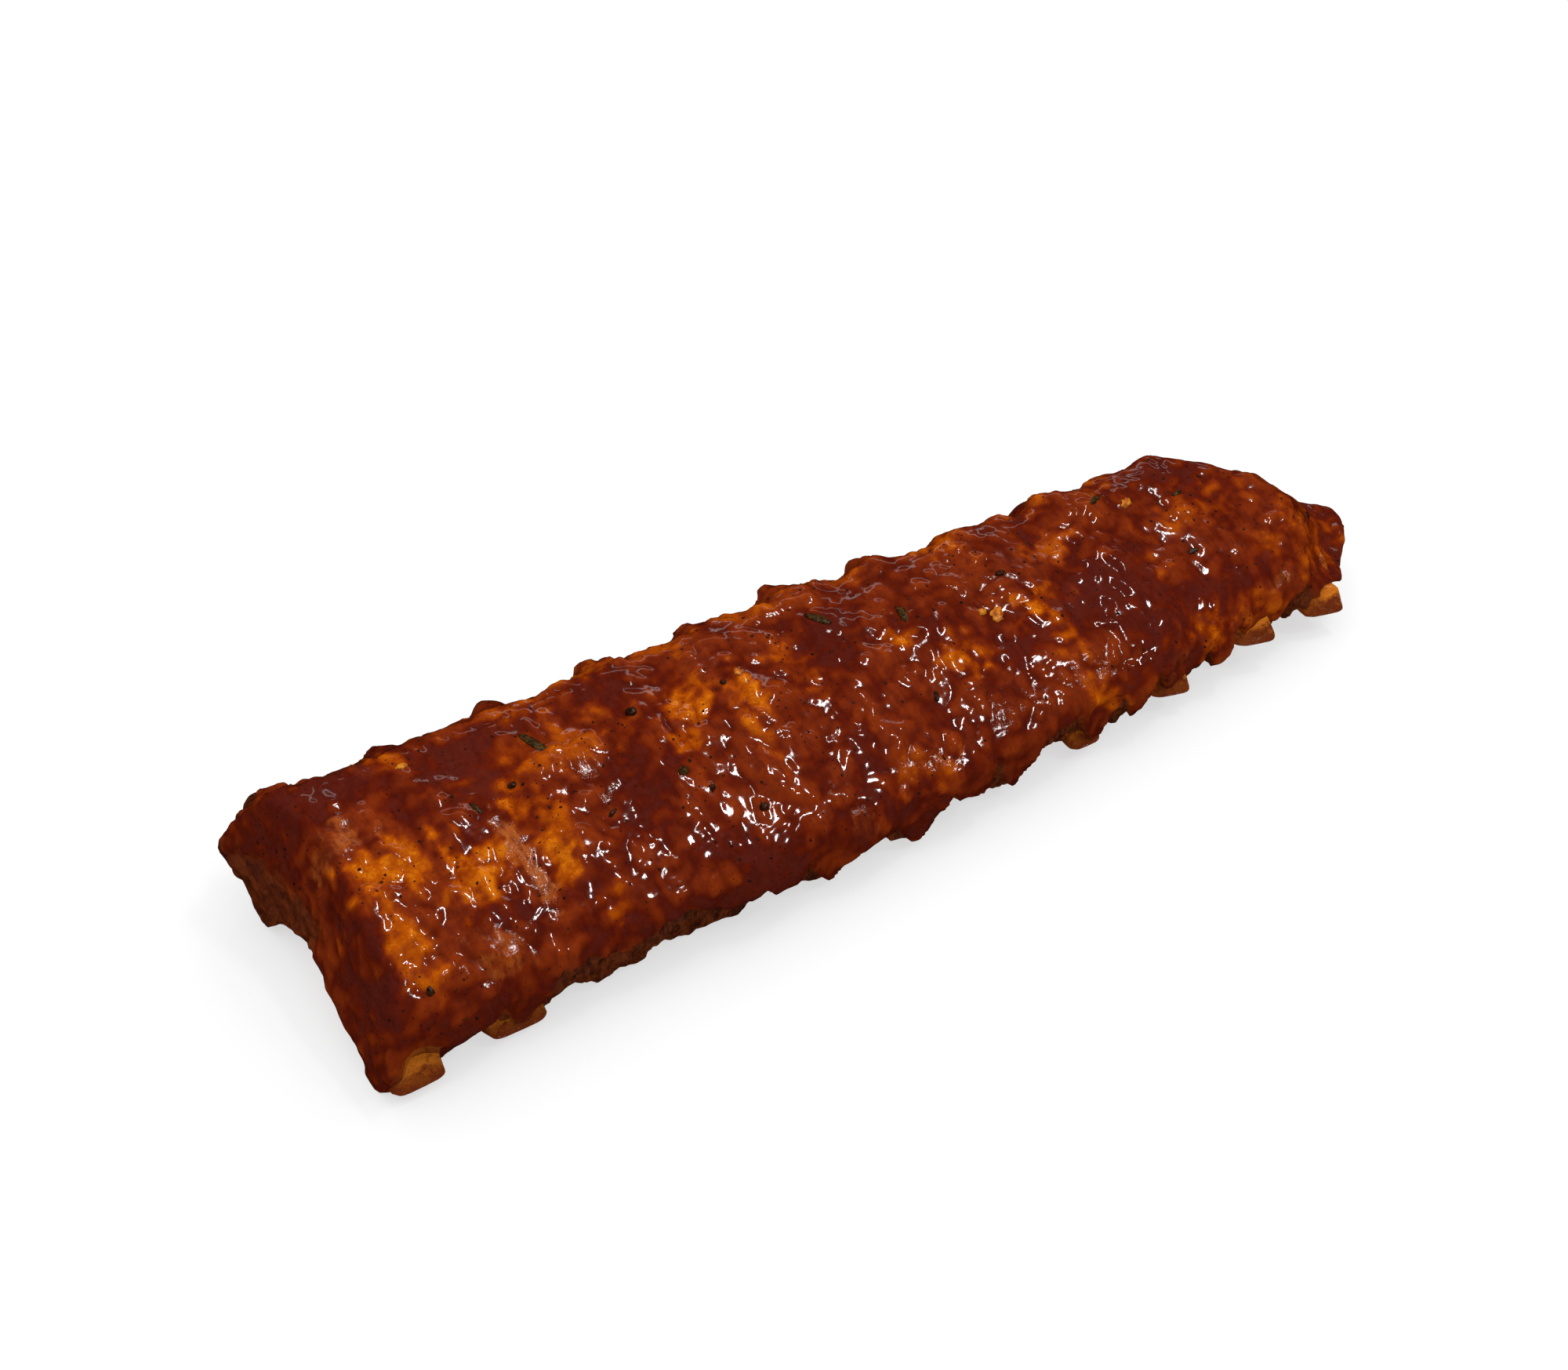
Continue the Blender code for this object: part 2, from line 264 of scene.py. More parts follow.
@dataclass(frozen=True)
class SlabForm:
    """The smooth arched form of the slab, in its own frame.

    Its zero is the foot of the thick end's front corner, with X along the rack, Y from
    the front edge to the loin edge and Z up.
    """

    length: float = 0.404
    crown_height: float = 0.0495
    back_edge: float = 0.1045
    back_taper: float = 0.075
    crown_line: float = 0.080
    crown_taper: float = 0.055
    front_bow: float = 0.0060
    arch_rise: float = 0.0175
    foot_width: float = 0.011
    back_foot_inset: float = 0.014
    # The thick end leans in towards its top, and its heel stands out at the loin.
    thick_start: float = -0.0045
    thick_lean: float = 0.42
    heel: float = 0.008
    heel_height: Ramp = Ramp(0.0, 0.022)
    heel_depth: Ramp = Ramp(0.060, 0.040)
    # The thin end is cut slanting across the rack, sinks and lifts its edge.
    thin_skew: float = 0.060
    thin_skew_depth: Ramp = Ramp(0.022, 0.073)
    thin_corner: float = 0.022
    thin_corner_depth: Ramp = Ramp(-0.008, 0.030)
    thin_drop: float = 0.45
    thin_drop_along: Ramp = Ramp(0.370, 0.030)
    thin_lift: float = 0.009
    thin_lift_along: Ramp = Ramp(0.375, 0.030)
    end_stretch: Ramp = Ramp(0.0, 0.150)
    # The ribs run across the rack, a little further apart towards its thin end.
    rib_count: int = 12
    rib_first: float = 0.0106
    rib_pitch: float = 0.0349
    rib_spread: float = 0.00017
    rib_skew: float = 0.012
    rib_skew_depth: float = 0.100
    rib_skew_from: float = -0.010
    rib_skew_length: float = 0.330
    rib_foot: float = 0.0049
    rib_arch: float = 0.0150
    rib_inset: float = 0.013
    rib_lift: float = 0.0070
    rib_lift_along: Ramp = Ramp(0.240, 0.140)
    last_rib: float = 0.3975
    last_rib_height: float = 0.0165
    last_rib_depth: float = 0.0090
    last_rib_run: Place = (-0.0030, 0.0210, 0.0020)
    # The lumps of the rib heads, and the lobes of the lip over the rib ends.
    lump: float = 0.0040
    lump_narrowness: float = 1.4
    lump_from: float = -0.020
    lip_lobe: float = 0.0018
    rib_rise: float = 0.0008
    # How far the form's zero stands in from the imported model's low corner.
    zero_from_box: Range = (0.0040, 0.0127)

    def origin(self) -> Vector:
        """Return where the form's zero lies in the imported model's frame."""
        low = CAD_BOX[0]
        return Vector((low.x + self.zero_from_box[0], low.y + self.zero_from_box[1], low.z))

    def rib_front(self, index: int) -> float:
        """Return where rib `index` crosses the front edge."""
        if index == self.rib_count - 1:
            return self.last_rib
        return self.rib_first + self.rib_pitch * index + self.rib_spread * index * index

    def rib_shift(self, x: Array, y: Array) -> Array:
        """Return how far a rib has run towards the thin end at depth `y`."""
        along = np.clip((x - self.rib_skew_from) / self.rib_skew_length, 0.0, 1.0)
        return self.rib_skew * (y / self.rib_skew_depth) * np.sin(math.pi * along)

    def rib_swell(self, x: Array, y: Array) -> Array:
        """Return how near each place is to a rib.

        Args:
            x: places along the slab.
            y: their depths.

        Returns:
            1 on a rib, -1 midway between two ribs and a smooth wave between them.
        """
        along = np.maximum(x - self.rib_shift(x, y) - self.rib_first, self.lump_from)
        root = np.sqrt(self.rib_pitch ** 2 + 4.0 * self.rib_spread * along)
        wave = 0.5 + 0.5 * np.cos(math.pi * (root - self.rib_pitch) / self.rib_spread)
        return 2.0 * wave ** self.lump_narrowness - 1.0

    def thin_factor(self, x: Array) -> Array:
        """Return the slab's height at `x` as a share of its full height."""
        return 1.0 - self.thin_drop * self.thin_drop_along.rise(x)

    def back_line(self, x: Array) -> Array:
        """Return the depth of the loin edge at `x`."""
        return self.back_edge - self.back_taper * x

    def crown(self, x: Array) -> Array:
        """Return the depth of the crown line at `x`."""
        return self.crown_line - self.crown_taper * x

    def rib_centre(self, index: int, y: Array) -> Array:
        """Return the centre line of one rib.

        Args:
            index: the rib's number, from 0 at the thick end.
            y: the depths at which to find it, an array of `count` values.

        Returns:
            An array of shape (count, 3).
        """
        front = self.rib_front(index)
        if index == self.rib_count - 1:
            run = np.array(self.last_rib_run) / self.last_rib_run[1]
            level = self.last_rib_height - self.last_rib_depth * run[2]
            return np.array([front, 0.0, level]) + y[:, None] * run
        edge = self.back_line(front) - self.rib_inset
        arch = np.maximum(0.0, 1.0 - ((y - 0.5 * edge) / (0.5 * edge)) ** 2)
        lift = self.rib_lift * self.rib_lift_along.rise(front) * (1.0 - np.clip(y / edge, 0.0, 1.0))
        z = self.rib_foot + self.rib_arch * arch * self.thin_factor(front) + lift
        return np.stack([front + self.rib_shift(front, y), y, z], axis=1)

    def section_rows(self, x: Array) -> Array:
        """Return the corners of the section at each of `x`.

        Args:
            x: the places along the slab, an array of `count` values.

        Returns:
            An array of shape (count, 18, 4): for each corner its depth, its height, and
            how far out and up it moves where a rib swells it.
        """
        factor = self.thin_factor(x)
        back = self.back_line(x)
        crown = self.crown(x)
        bow = -self.front_bow * np.sin(math.pi * np.clip(x / self.length, 0.0, 1.0)) ** 2
        foot = self.thin_lift * self.thin_lift_along.rise(x)
        full = self.crown_height * factor - foot
        arch = self.arch_rise * factor ** 2
        lump = factor * self.lump
        none = np.zeros_like(x)
        lobe = none + self.lip_lobe
        rise = none + self.rib_rise
        inner_front = self.foot_width + bow
        inner_back = back - self.back_foot_inset - self.foot_width
        span = inner_back - inner_front
        rows = [
            (inner_front, foot, none, none),
            (0.003 + bow, foot, none, none),
            (-0.001 + bow, foot + 0.15 * full, none, none),
            (-0.005 + bow, foot + 0.36 * full, lobe, lobe),
            (-0.003 + bow, foot + 0.57 * full, 0.5 * lobe, none),
            (0.008 + 0.5 * bow, foot + 0.745 * full, none, rise),
            (0.030 + none, foot + 0.90 * full, none, rise),
            (0.5 * (0.030 + crown), foot + 0.975 * full, none, rise),
            (crown, foot + full, none, rise),
            (0.45 * crown + 0.55 * back - 0.004, foot + 0.89 * full, none, 0.3 * lump),
            (back - 0.007, foot + 0.68 * full, lump, lump),
            (back, foot + 0.45 * full, lump, 0.4 * lump),
            (back - 0.006, foot + 0.17 * full, 0.3 * lump, none),
            (back - self.back_foot_inset, foot, none, none),
            (inner_back, foot, none, none),
            (inner_back - 0.18 * span, foot + 0.60 * arch, none, none),
            (inner_back - 0.50 * span, foot + arch, none, none),
            (inner_front + 0.18 * span, foot + 0.60 * arch, none, none),
        ]
        return np.array(rows).transpose(2, 0, 1)

    def place_along(self, nominal: Array, y: Array, z: Array) -> Array:
        """Return where points of the sections lie along X.

        Args:
            nominal: the sections' even places, before the ends are leant and slanted.
            y: the points' depths.
            z: the points' heights.

        Returns:
            Their places along X.
        """
        heel = self.heel * self.heel_depth.rise(y)
        begin = self.thick_start + self.thick_lean * z - heel * self.heel_height.rise(z)
        cut = self.thin_skew * self.thin_skew_depth.rise(y)
        cut += self.thin_corner * self.thin_corner_depth.fall(y)
        from_thick = self.end_stretch.fall(nominal)
        from_thin = self.end_stretch.fall(self.length - nominal)
        return nominal + begin * from_thick - cut * from_thin


class SectionCurves:
    """The four stretches of the slab's sections, evenly sampled by length.

    The front stretch climbs from the inner front foot to the lip, the top one runs over
    the crown to the loin bulge, the back one climbs from the inner back foot to that
    bulge, and the under one crosses the hollow from foot to foot.
    """

    LIP_ROW = 3
    BULGE_ROW = 11
    BACK_FOOT_ROW = 14
    END_ROW = 18
    FINE = 12

    def __init__(self, form: SlabForm, stations: int, across: int, upright: int) -> None:
        """Sample the sections of `form`.

        Args:
            form: the slab's form.
            stations: the number of spans along the slab.
            across: the number of spans over the top and the underside.
            upright: the number of spans up the front and the back.
        """
        nominal = np.linspace(0.0, form.length, stations + 1)
        curve = self.closed_spline(form.section_rows(nominal))
        steps = np.linalg.norm(np.diff(curve[:, :, :2], axis=1, append=curve[:, :1, :2]), axis=2)
        reach = np.cumsum(steps, axis=1) - steps
        curve = np.concatenate([curve, reach[:, :, None]], axis=2)
        closing = curve[:, :1].copy()
        closing[:, :, 4] = steps.sum(axis=1)[:, None]
        curve = np.concatenate([curve, closing], axis=1)
        rows = (self.LIP_ROW, self.BULGE_ROW, self.BACK_FOOT_ROW, self.END_ROW)
        lip, bulge, foot, end = (self.FINE * row for row in rows)
        self.front = self.evenly(curve[:, : lip + 1], upright)
        self.top = self.evenly(curve[:, lip : bulge + 1], across)
        self.back = self.evenly(curve[:, bulge : foot + 1][:, ::-1], upright)
        self.under = self.evenly(curve[:, foot : end + 1][:, ::-1], across)

    def closed_spline(self, rows: Array) -> Array:
        """Return closed curves through rows of corners.

        Args:
            rows: an array of shape (curves, corners, values).

        Returns:
            An array of shape (curves, corners * FINE, values).
        """
        before, start, end, after = (np.roll(rows, -k, axis=1) for k in (-1, 0, 1, 2))
        samples = []
        for step in range(self.FINE):
            t = step / self.FINE
            bend = (end - before) * t + (2 * before - 5 * start + 4 * end - after) * t ** 2
            bend += (3 * start - before - 3 * end + after) * t ** 3
            samples.append(start + 0.5 * bend)
        return np.stack(samples, axis=2).reshape(len(rows), -1, rows.shape[2])

    @staticmethod
    def evenly(curves: Array, spans: int) -> Array:
        """Return curves divided anew into spans of equal length.

        Args:
            curves: an array of shape (curves, samples, values), depth and height first.
            spans: the number of spans of each.

        Returns:
            An array of shape (curves, spans + 1, values).
        """
        found = np.empty((len(curves), spans + 1, curves.shape[2]))
        share = np.linspace(0.0, 1.0, spans + 1)
        for place, curve in enumerate(curves):
            steps = np.linalg.norm(np.diff(curve[:, :2], axis=0), axis=1)
            reach = np.concatenate(([0.0], np.cumsum(steps)))
            for column in range(curve.shape[1]):
                found[place, :, column] = np.interp(share * reach[-1], reach, curve[:, column])
        return found

    def at(self, station: Array, across: Array, upright: Array) -> Array:
        """Return the section point of each place of the block, filled in between the curves.

        Args:
            station: indices along the slab.
            across: indices from the front side to the back side.
            upright: indices from the underside to the top.

        Returns:
            An array of shape (count, 5): depth, height, swell out, swell up and reach.
        """
        spans_across = self.top.shape[1] - 1
        spans_up = self.front.shape[1] - 1
        v = (across / spans_across)[:, None]
        w = (upright / spans_up)[:, None]
        point = (1.0 - w) * self.under[station, across] + w * self.top[station, across]
        point += (1.0 - v) * self.front[station, upright] + v * self.back[station, upright]
        point -= (1.0 - v) * (1.0 - w) * self.under[station, 0]
        point -= v * (1.0 - w) * self.under[station, spans_across]
        point -= (1.0 - v) * w * self.top[station, 0]
        point -= v * w * self.top[station, spans_across]
        return point


# ---------------------------------------------------------------- patches of the surface


@dataclass(frozen=True)
class Patch:
    """An oval part of the upper surface, in millimetres along X and along the section.

    `x` and `reach` are its middle, `wide` and `tall` its half sizes, `turn` its angle in
    degrees and `strength` how marked it is.
    """

    # Where the cover ends, in half sizes from the middle, and how steeply.
    RIM = 1.7
    STEEPNESS = 0.85

    x: float
    reach: float
    wide: float
    tall: float
    turn: float = 0.0
    strength: float = 1.0

    def cover(self, x: Array, reach: Array, ragged: Array) -> Array:
        """Return how much each point is covered.

        Args:
            x: the points' places along X, in millimetres.
            reach: their places along their sections, in millimetres.
            ragged: the noise that makes the patch's rim uneven.

        Returns:
            Values from 0 to `strength`.
        """
        angle = math.radians(self.turn)
        across = x - self.x
        along = reach - self.reach
        wide = (across * math.cos(angle) + along * math.sin(angle)) / self.wide
        tall = (along * math.cos(angle) - across * math.sin(angle)) / self.tall
        inside = self.RIM - np.hypot(wide, tall) + ragged
        return self.strength * smooth(self.STEEPNESS * inside)


def covered(patches: tuple[Patch, ...], x: Array, reach: Array, ragged: Array) -> Array:
    """Return the strongest cover of several patches.

    Args:
        patches: the patches.
        x: the points' places along X, in millimetres.
        reach: their places along their sections, in millimetres.
        ragged: the noise that makes the patches' rims uneven.

    Returns:
        A value for each point.
    """
    total = np.zeros(len(x))
    for patch in patches:
        total = np.maximum(total, patch.cover(x, reach, ragged))
    return total


FAT_PATCHES = (
    Patch(27, 85, 12, 7, 0, 0.9),
    Patch(45, 128, 6, 9, 0, 0.6),
    Patch(75, 136, 9, 8, 0, 0.5),
    Patch(90, 122, 9, 6, 0, 0.6),
    Patch(118, 133, 9, 9, 0, 0.6),
    Patch(145, 128, 8, 6, 0, 0.5),
    Patch(180, 130, 9, 8, 0, 0.6),
    Patch(215, 128, 9, 9, 0, 0.5),
    Patch(250, 122, 8, 8, 0, 0.6),
    Patch(287, 118, 9, 8, 0, 0.5),
    Patch(326, 112, 10, 8, 0, 0.5),
    Patch(51, 72, 8, 10, -12),
    Patch(21, 58, 5, 12, 0, 0.7),
    Patch(74, 66, 4, 7),
    Patch(72.5, 91, 3.5, 8),
    Patch(78, 79, 6, 9, 0, 0.6),
    Patch(92, 103, 22, 7, 0, 0.45),
    Patch(81, 46, 4, 5, 0, 0.6),
    Patch(139.5, 100, 7, 7),
    Patch(131, 87, 4, 4, 0, 0.8),
    Patch(158.5, 93, 3, 9, 0, 0.9),
    Patch(151.5, 78, 2.5, 11, 0, 0.6),
    Patch(177, 101, 5, 6, 0, 0.5),
    Patch(180, 85, 3, 6, 0, 0.4),
    Patch(213.5, 88, 4, 3, 0, 0.8),
    Patch(229, 72, 7, 7, 0, 0.8),
    Patch(192, 42, 10, 7, 0, 0.5),
    Patch(264, 63, 6, 8, 0, 0.6),
    Patch(267, 76, 8, 5, 0, 1.0),
    Patch(309, 68, 6, 6, 0, 0.35),
    Patch(339, 82, 20, 6, 0, 0.4),
    Patch(355, 56, 5, 4, 0, 0.6),
    Patch(314, 38, 8, 6, 0, 1.0),
    Patch(283, 93, 7, 5, 0, 0.6),
    Patch(268, 36, 8, 6, 0, 0.6),
    Patch(303, 32, 8, 7, 0, 0.5),
    Patch(342, 34, 9, 7, 0, 0.5),
    Patch(383, 50, 14, 16, 0, 0.5),
)
FIBRE_PATCHES = (
    Patch(65.2, 70, 2.6, 15),
    Patch(97.5, 88, 4, 8, 0, 0.4),
    Patch(44, 46, 9, 6, 0, 0.6),
    Patch(232, 50, 9, 8, 0, 0.3),
    Patch(272, 94, 17, 5, -8, 0.35),
    Patch(268, 46, 9, 7, 0, 0.35),
    Patch(192, 42, 10, 8, 0, 0.35),
    Patch(166, 37, 5, 4, 0, 0.6),
    Patch(350, 42, 6, 3, 0, 0.6),
    Patch(22, 103, 8, 5, 0, 0.75),
)
POOL_PATCHES = (
    Patch(8, 128, 9, 11, 0, 0.9),
    Patch(352, 100, 15, 8, 0, 0.7),
    Patch(332, 116, 16, 6, -10, 0.5),
    Patch(30, 65, 4, 4, 0, 0.7),
    Patch(50, 56, 9, 4, 0, 0.8),
    Patch(54, 90, 5, 4, 0, 0.8),
    Patch(38, 52, 5, 3, 0, 0.6),
    Patch(26, 99, 7, 5, 0, 0.5),
    Patch(14, 80, 4, 12, 0, 0.6),
    Patch(10, 47, 4, 5, 0, 0.6),
    Patch(24, 122, 13, 8),
    Patch(72, 119, 10, 5, 0, 0.8),
    Patch(73, 49, 4, 9, 0, 0.7),
    Patch(98, 60, 14, 9, 0, 0.5),
    Patch(114, 48, 7, 5, 0, 0.7),
    Patch(135, 43, 12, 6, 0, 0.5),
    Patch(179, 60, 6, 9, 0, 0.8),
    Patch(200, 103, 24, 4, -30, 0.8),
    Patch(250, 63, 9, 9, 0, 0.8),
    Patch(294, 50, 11, 24, 0, 1.8),
    Patch(288, 71, 13, 7, 0, 1.2),
    Patch(324, 52, 7, 8, 0, 0.6),
    Patch(351, 50, 5, 4, 0, 0.6),
    Patch(317, 101, 12, 5, -15, 0.7),
)


@dataclass(frozen=True)
class EdgeFold:
    """A place `x` along an edge of the slab, in millimetres, where it stands out or in.

    `wide` is its half width, `out` how far the edge moves out, and `lift` how far up.
    """

    SPREAD = 0.7

    x: float
    wide: float
    out: float
    lift: float = 0.0

    def share(self, x: Array) -> Array:
        """Return how much the fold moves the points at `x` millimetres, from 0 to 1."""
        return smooth(1.0 - self.SPREAD * np.abs(x - self.x) / self.wide)


FRONT_FOLDS = (
    EdgeFold(2.0, 6.0, 2.0),
    EdgeFold(12.0, 6.5, -3.0, 3.5),
    EdgeFold(29.0, 8.5, -2.0, 2.0),
    EdgeFold(46.0, 8.0, 1.5),
    EdgeFold(63.5, 7.0, -3.5, 3.5),
    EdgeFold(82.0, 9.0, 1.5, 0.5),
    EdgeFold(99.0, 9.0, -1.0, 1.5),
    EdgeFold(118.0, 9.0, 1.5, 0.5),
    EdgeFold(136.0, 9.0, -1.5, 2.0),
    EdgeFold(154.0, 9.0, 1.5, 0.5),
    EdgeFold(172.0, 8.0, -3.5, 3.0),
    EdgeFold(190.0, 9.0, 3.0, 0.8),
    EdgeFold(208.0, 7.0, -3.0, 3.5),
    EdgeFold(228.0, 8.0, 2.5, 1.0),
    EdgeFold(247.0, 9.5, -3.5, 3.5),
    EdgeFold(263.0, 7.0, 2.5, 2.5),
    EdgeFold(273.0, 4.0, -3.5, 3.0),
    EdgeFold(280.0, 4.5, 1.5, 1.0),
    EdgeFold(289.0, 6.5, -6.5, 6.5),
    EdgeFold(302.0, 7.0, 2.5, 4.5),
    EdgeFold(313.5, 4.5, -4.5, 5.0),
    EdgeFold(320.0, 4.5, 1.5, 1.5),
    EdgeFold(328.0, 6.5, -5.5, 6.5),
    EdgeFold(340.0, 7.0, 1.5, 7.0),
    EdgeFold(355.0, 8.0, -7.0, 9.0),
    EdgeFold(375.0, 7.0, -7.0, 7.0),
)
BACK_FOLDS = (
    EdgeFold(8.0, 8.0, -2.5),
    EdgeFold(53.0, 8.0, -0.8),
    EdgeFold(72.0, 9.0, 1.0),
    EdgeFold(101.0, 10.0, -2.5),
    EdgeFold(145.0, 9.0, 0.0),
    EdgeFold(170.0, 9.0, 1.5),
    EdgeFold(197.0, 8.0, 2.0),
    EdgeFold(213.0, 6.0, -1.5),
    EdgeFold(229.0, 7.0, 1.5),
    EdgeFold(242.0, 11.0, -5.0),
    EdgeFold(270.0, 8.0, -3.0),
    EdgeFold(286.0, 8.0, -4.0),
    EdgeFold(310.0, 10.0, -4.0),
    EdgeFold(333.0, 8.0, -3.0),
    EdgeFold(362.0, 17.0, -8.5),
)


@dataclass(frozen=True)
class SauceLobe:
    """A place `x` where the sauce has run down the front edge to reach `low`, in millimetres."""

    SPREAD = 0.75

    x: float
    wide: float
    low: float

    def share(self, x: Array) -> Array:
        """Return how much of the way down the sauce has run at `x` millimetres."""
        return smooth(1.0 - self.SPREAD * np.abs(x - self.x) / self.wide)


SAUCE_LOBES = (
    SauceLobe(3.0, 10.0, 5.0),
    SauceLobe(17.0, 9.0, 8.0),
    SauceLobe(29.0, 10.0, 13.0),
    SauceLobe(46.5, 9.0, 14.0),
    SauceLobe(81.0, 10.0, 27.0),
    SauceLobe(119.0, 12.0, 22.0),
    SauceLobe(138.0, 10.0, 20.0),
    SauceLobe(156.0, 12.0, 13.0),
    SauceLobe(172.0, 10.0, 16.0),
    SauceLobe(189.0, 12.0, 12.0),
    SauceLobe(210.0, 9.0, 16.0),
    SauceLobe(229.0, 8.0, 14.0),
    SauceLobe(265.0, 8.0, 12.0),
    SauceLobe(280.0, 5.0, 20.0),
    SauceLobe(303.0, 10.0, 9.0),
    SauceLobe(320.0, 5.0, 18.0),
    SauceLobe(341.0, 9.0, 10.0),
    SauceLobe(376.0, 11.0, 12.0),
    SauceLobe(398.0, 9.0, 8.0),
)


# ---------------------------------------------------------------- finishes


# What a socket takes: a link from another socket, or a number, colour or vector.
Feed = Union["Value", bpy.types.NodeSocket, float, tuple]


class Value:
    """A number that runs through a material, with Python's own arithmetic."""

    def __init__(self, shader: "Shader", socket: bpy.types.NodeSocket) -> None:
        """Wrap `socket` of `shader`."""
        self.shader = shader
        self.socket = socket

    def maths(self, operation: str, first: Feed, second: Feed) -> "Value":
        """Return a new value from one Math node."""
        node = self.shader.node("ShaderNodeMath", {"operation": operation}, {0: first, 1: second})
        return Value(self.shader, node.outputs[0])

    def __add__(self, other: Feed) -> "Value":
        """Return the sum."""
        return self.maths("ADD", self, other)

    __radd__ = __add__

    def __sub__(self, other: Feed) -> "Value":
        """Return the difference."""
        return self.maths("SUBTRACT", self, other)

    def __rsub__(self, other: Feed) -> "Value":
        """Return the difference, the other way round."""
        return self.maths("SUBTRACT", other, self)

    def __mul__(self, other: Feed) -> "Value":
        """Return the product."""
        return self.maths("MULTIPLY", self, other)

    __rmul__ = __mul__

    def most(self, other: Feed) -> "Value":
        """Return the larger of the two."""
        return self.maths("MAXIMUM", self, other)

    def between(self, low: float, high: float) -> "Value":
        """Return a smooth rise from 0 to 1.

        Args:
            low: where it is still 0.
            high: where it is 1.

        Returns:
            The new value.
        """
        node = self.shader.node(
            "ShaderNodeMapRange",
            {"interpolation_type": "SMOOTHSTEP", "clamp": True},
            {"Value": self, "From Min": low, "From Max": high},
        )
        return Value(self.shader, node.outputs["Result"])


class Shader:
    """A material under construction, around one Principled surface."""

    def __init__(self, name: str) -> None:
        """Start a material.

        Args:
            name: what it is called.
        """
        self.material = bpy.data.materials.new(name)
        self.material.use_nodes = True
        self.tree = self.material.node_tree
        self.surface = self.tree.nodes["Principled BSDF"]
        self.place = self.node("ShaderNodeTexCoord").outputs["Object"]

    def node(
        self,
        kind: str,
        settings: dict[str, object] | None = None,
        inputs: dict[str | int, Feed] | None = None,
    ) -> bpy.types.Node:
        """Add one node.

        Args:
            kind: the node's type.
            settings: the node's own settings, set before its sockets.
            inputs: what goes into each socket, by the socket's name or number.

        Returns:
            The new node.
        """
        node = self.tree.nodes.new(kind)
        for setting, value in (settings or {}).items():
            setattr(node, setting, value)
        for socket, value in (inputs or {}).items():
            self.feed(node.inputs[socket], value)
        return node

    def feed(self, socket: bpy.types.NodeSocket, value: Feed) -> None:
        """Link a value to a socket, or set it there if it is a constant.

        Args:
            socket: the socket.
            value: what goes into it.
        """
        source = value.socket if isinstance(value, Value) else value
        if isinstance(source, bpy.types.NodeSocket):
            self.tree.links.new(source, socket)
        else:
            socket.default_value = source

    def set(self, **inputs: Feed) -> None:
        """Set or link sockets of the surface, named with _ for a space."""
        for name, value in inputs.items():
            self.feed(self.surface.inputs[name.replace("_", " ")], value)

    def attribute(self, name: str) -> Value:
        """Return the mesh's own attribute `name`."""
        node = self.node("ShaderNodeAttribute", {"attribute_name": name})
        return Value(self, node.outputs["Fac"])

    def stretched(self, scale: Place, turn: float = 0.0) -> bpy.types.NodeSocket:
        """Return Object coordinates scaled along each axis and turned about Z.

        Args:
            scale: the scale along each axis.
            turn: the angle, in degrees.

        Returns:
            The coordinates.
        """
        node = self.node(
            "ShaderNodeMapping",
            {"vector_type": "POINT"},
            {"Vector": self.place, "Scale": scale, "Rotation": (0.0, 0.0, math.radians(turn))},
        )
        return node.outputs["Vector"]

    def noise(
        self,
        scale: float,
        detail: float = 3.0,
        warp: float = 0.0,
        place: bpy.types.NodeSocket | None = None,
    ) -> Value:
        """Return a noise of 0 to 1.

        Args:
            scale: how many of its features go to a metre.
            detail: how many finer layers it has.
            warp: how much it is distorted.
            place: the coordinates that it follows; Object coordinates, if left out.

        Returns:
            The noise.
        """
        node = self.node(
            "ShaderNodeTexNoise",
            None,
            {
                "Vector": place or self.place,
                "Scale": scale,
                "Detail": detail,
                "Roughness": 0.55,
                "Distortion": warp,
            },
        )
        return Value(self, node.outputs["Fac"])

    def cells(self, scale: float) -> Value:
        """Return the distance to the nearest of scattered points, `scale` of them to a metre."""
        node = self.node("ShaderNodeTexVoronoi", None, {"Vector": self.place, "Scale": scale})
        return Value(self, node.outputs["Distance"])

    def mix(self, share: Feed, low: Feed, high: Feed) -> bpy.types.NodeSocket:
        """Return the colour from `low` to `high` at `share`."""
        node = self.node("ShaderNodeMix", {"data_type": "RGBA"}, {0: share, 6: low, 7: high})
        return node.outputs[2]

    def blend(self, way: str, low: Feed, high: Feed) -> bpy.types.NodeSocket:
        """Return two colours combined.

        Args:
            way: the blend's name.
            low: the colour below.
            high: the colour laid over it.

        Returns:
            The new colour.
        """
        node = self.node(
            "ShaderNodeMix", {"data_type": "RGBA", "blend_type": way}, {0: 1.0, 6: low, 7: high}
        )
        return node.outputs[2]

    def bump(self, height: Value, depth: float, strength: float) -> None:
        """Roughen the surface.

        Args:
            height: how high each place stands.
            depth: the real height of 1, in metres.
            strength: how strongly it shows.
        """
        node = self.node(
            "ShaderNodeBump", None, {"Height": height, "Distance": depth, "Strength": strength}
        )
        self.set(Normal=node.outputs["Normal"])


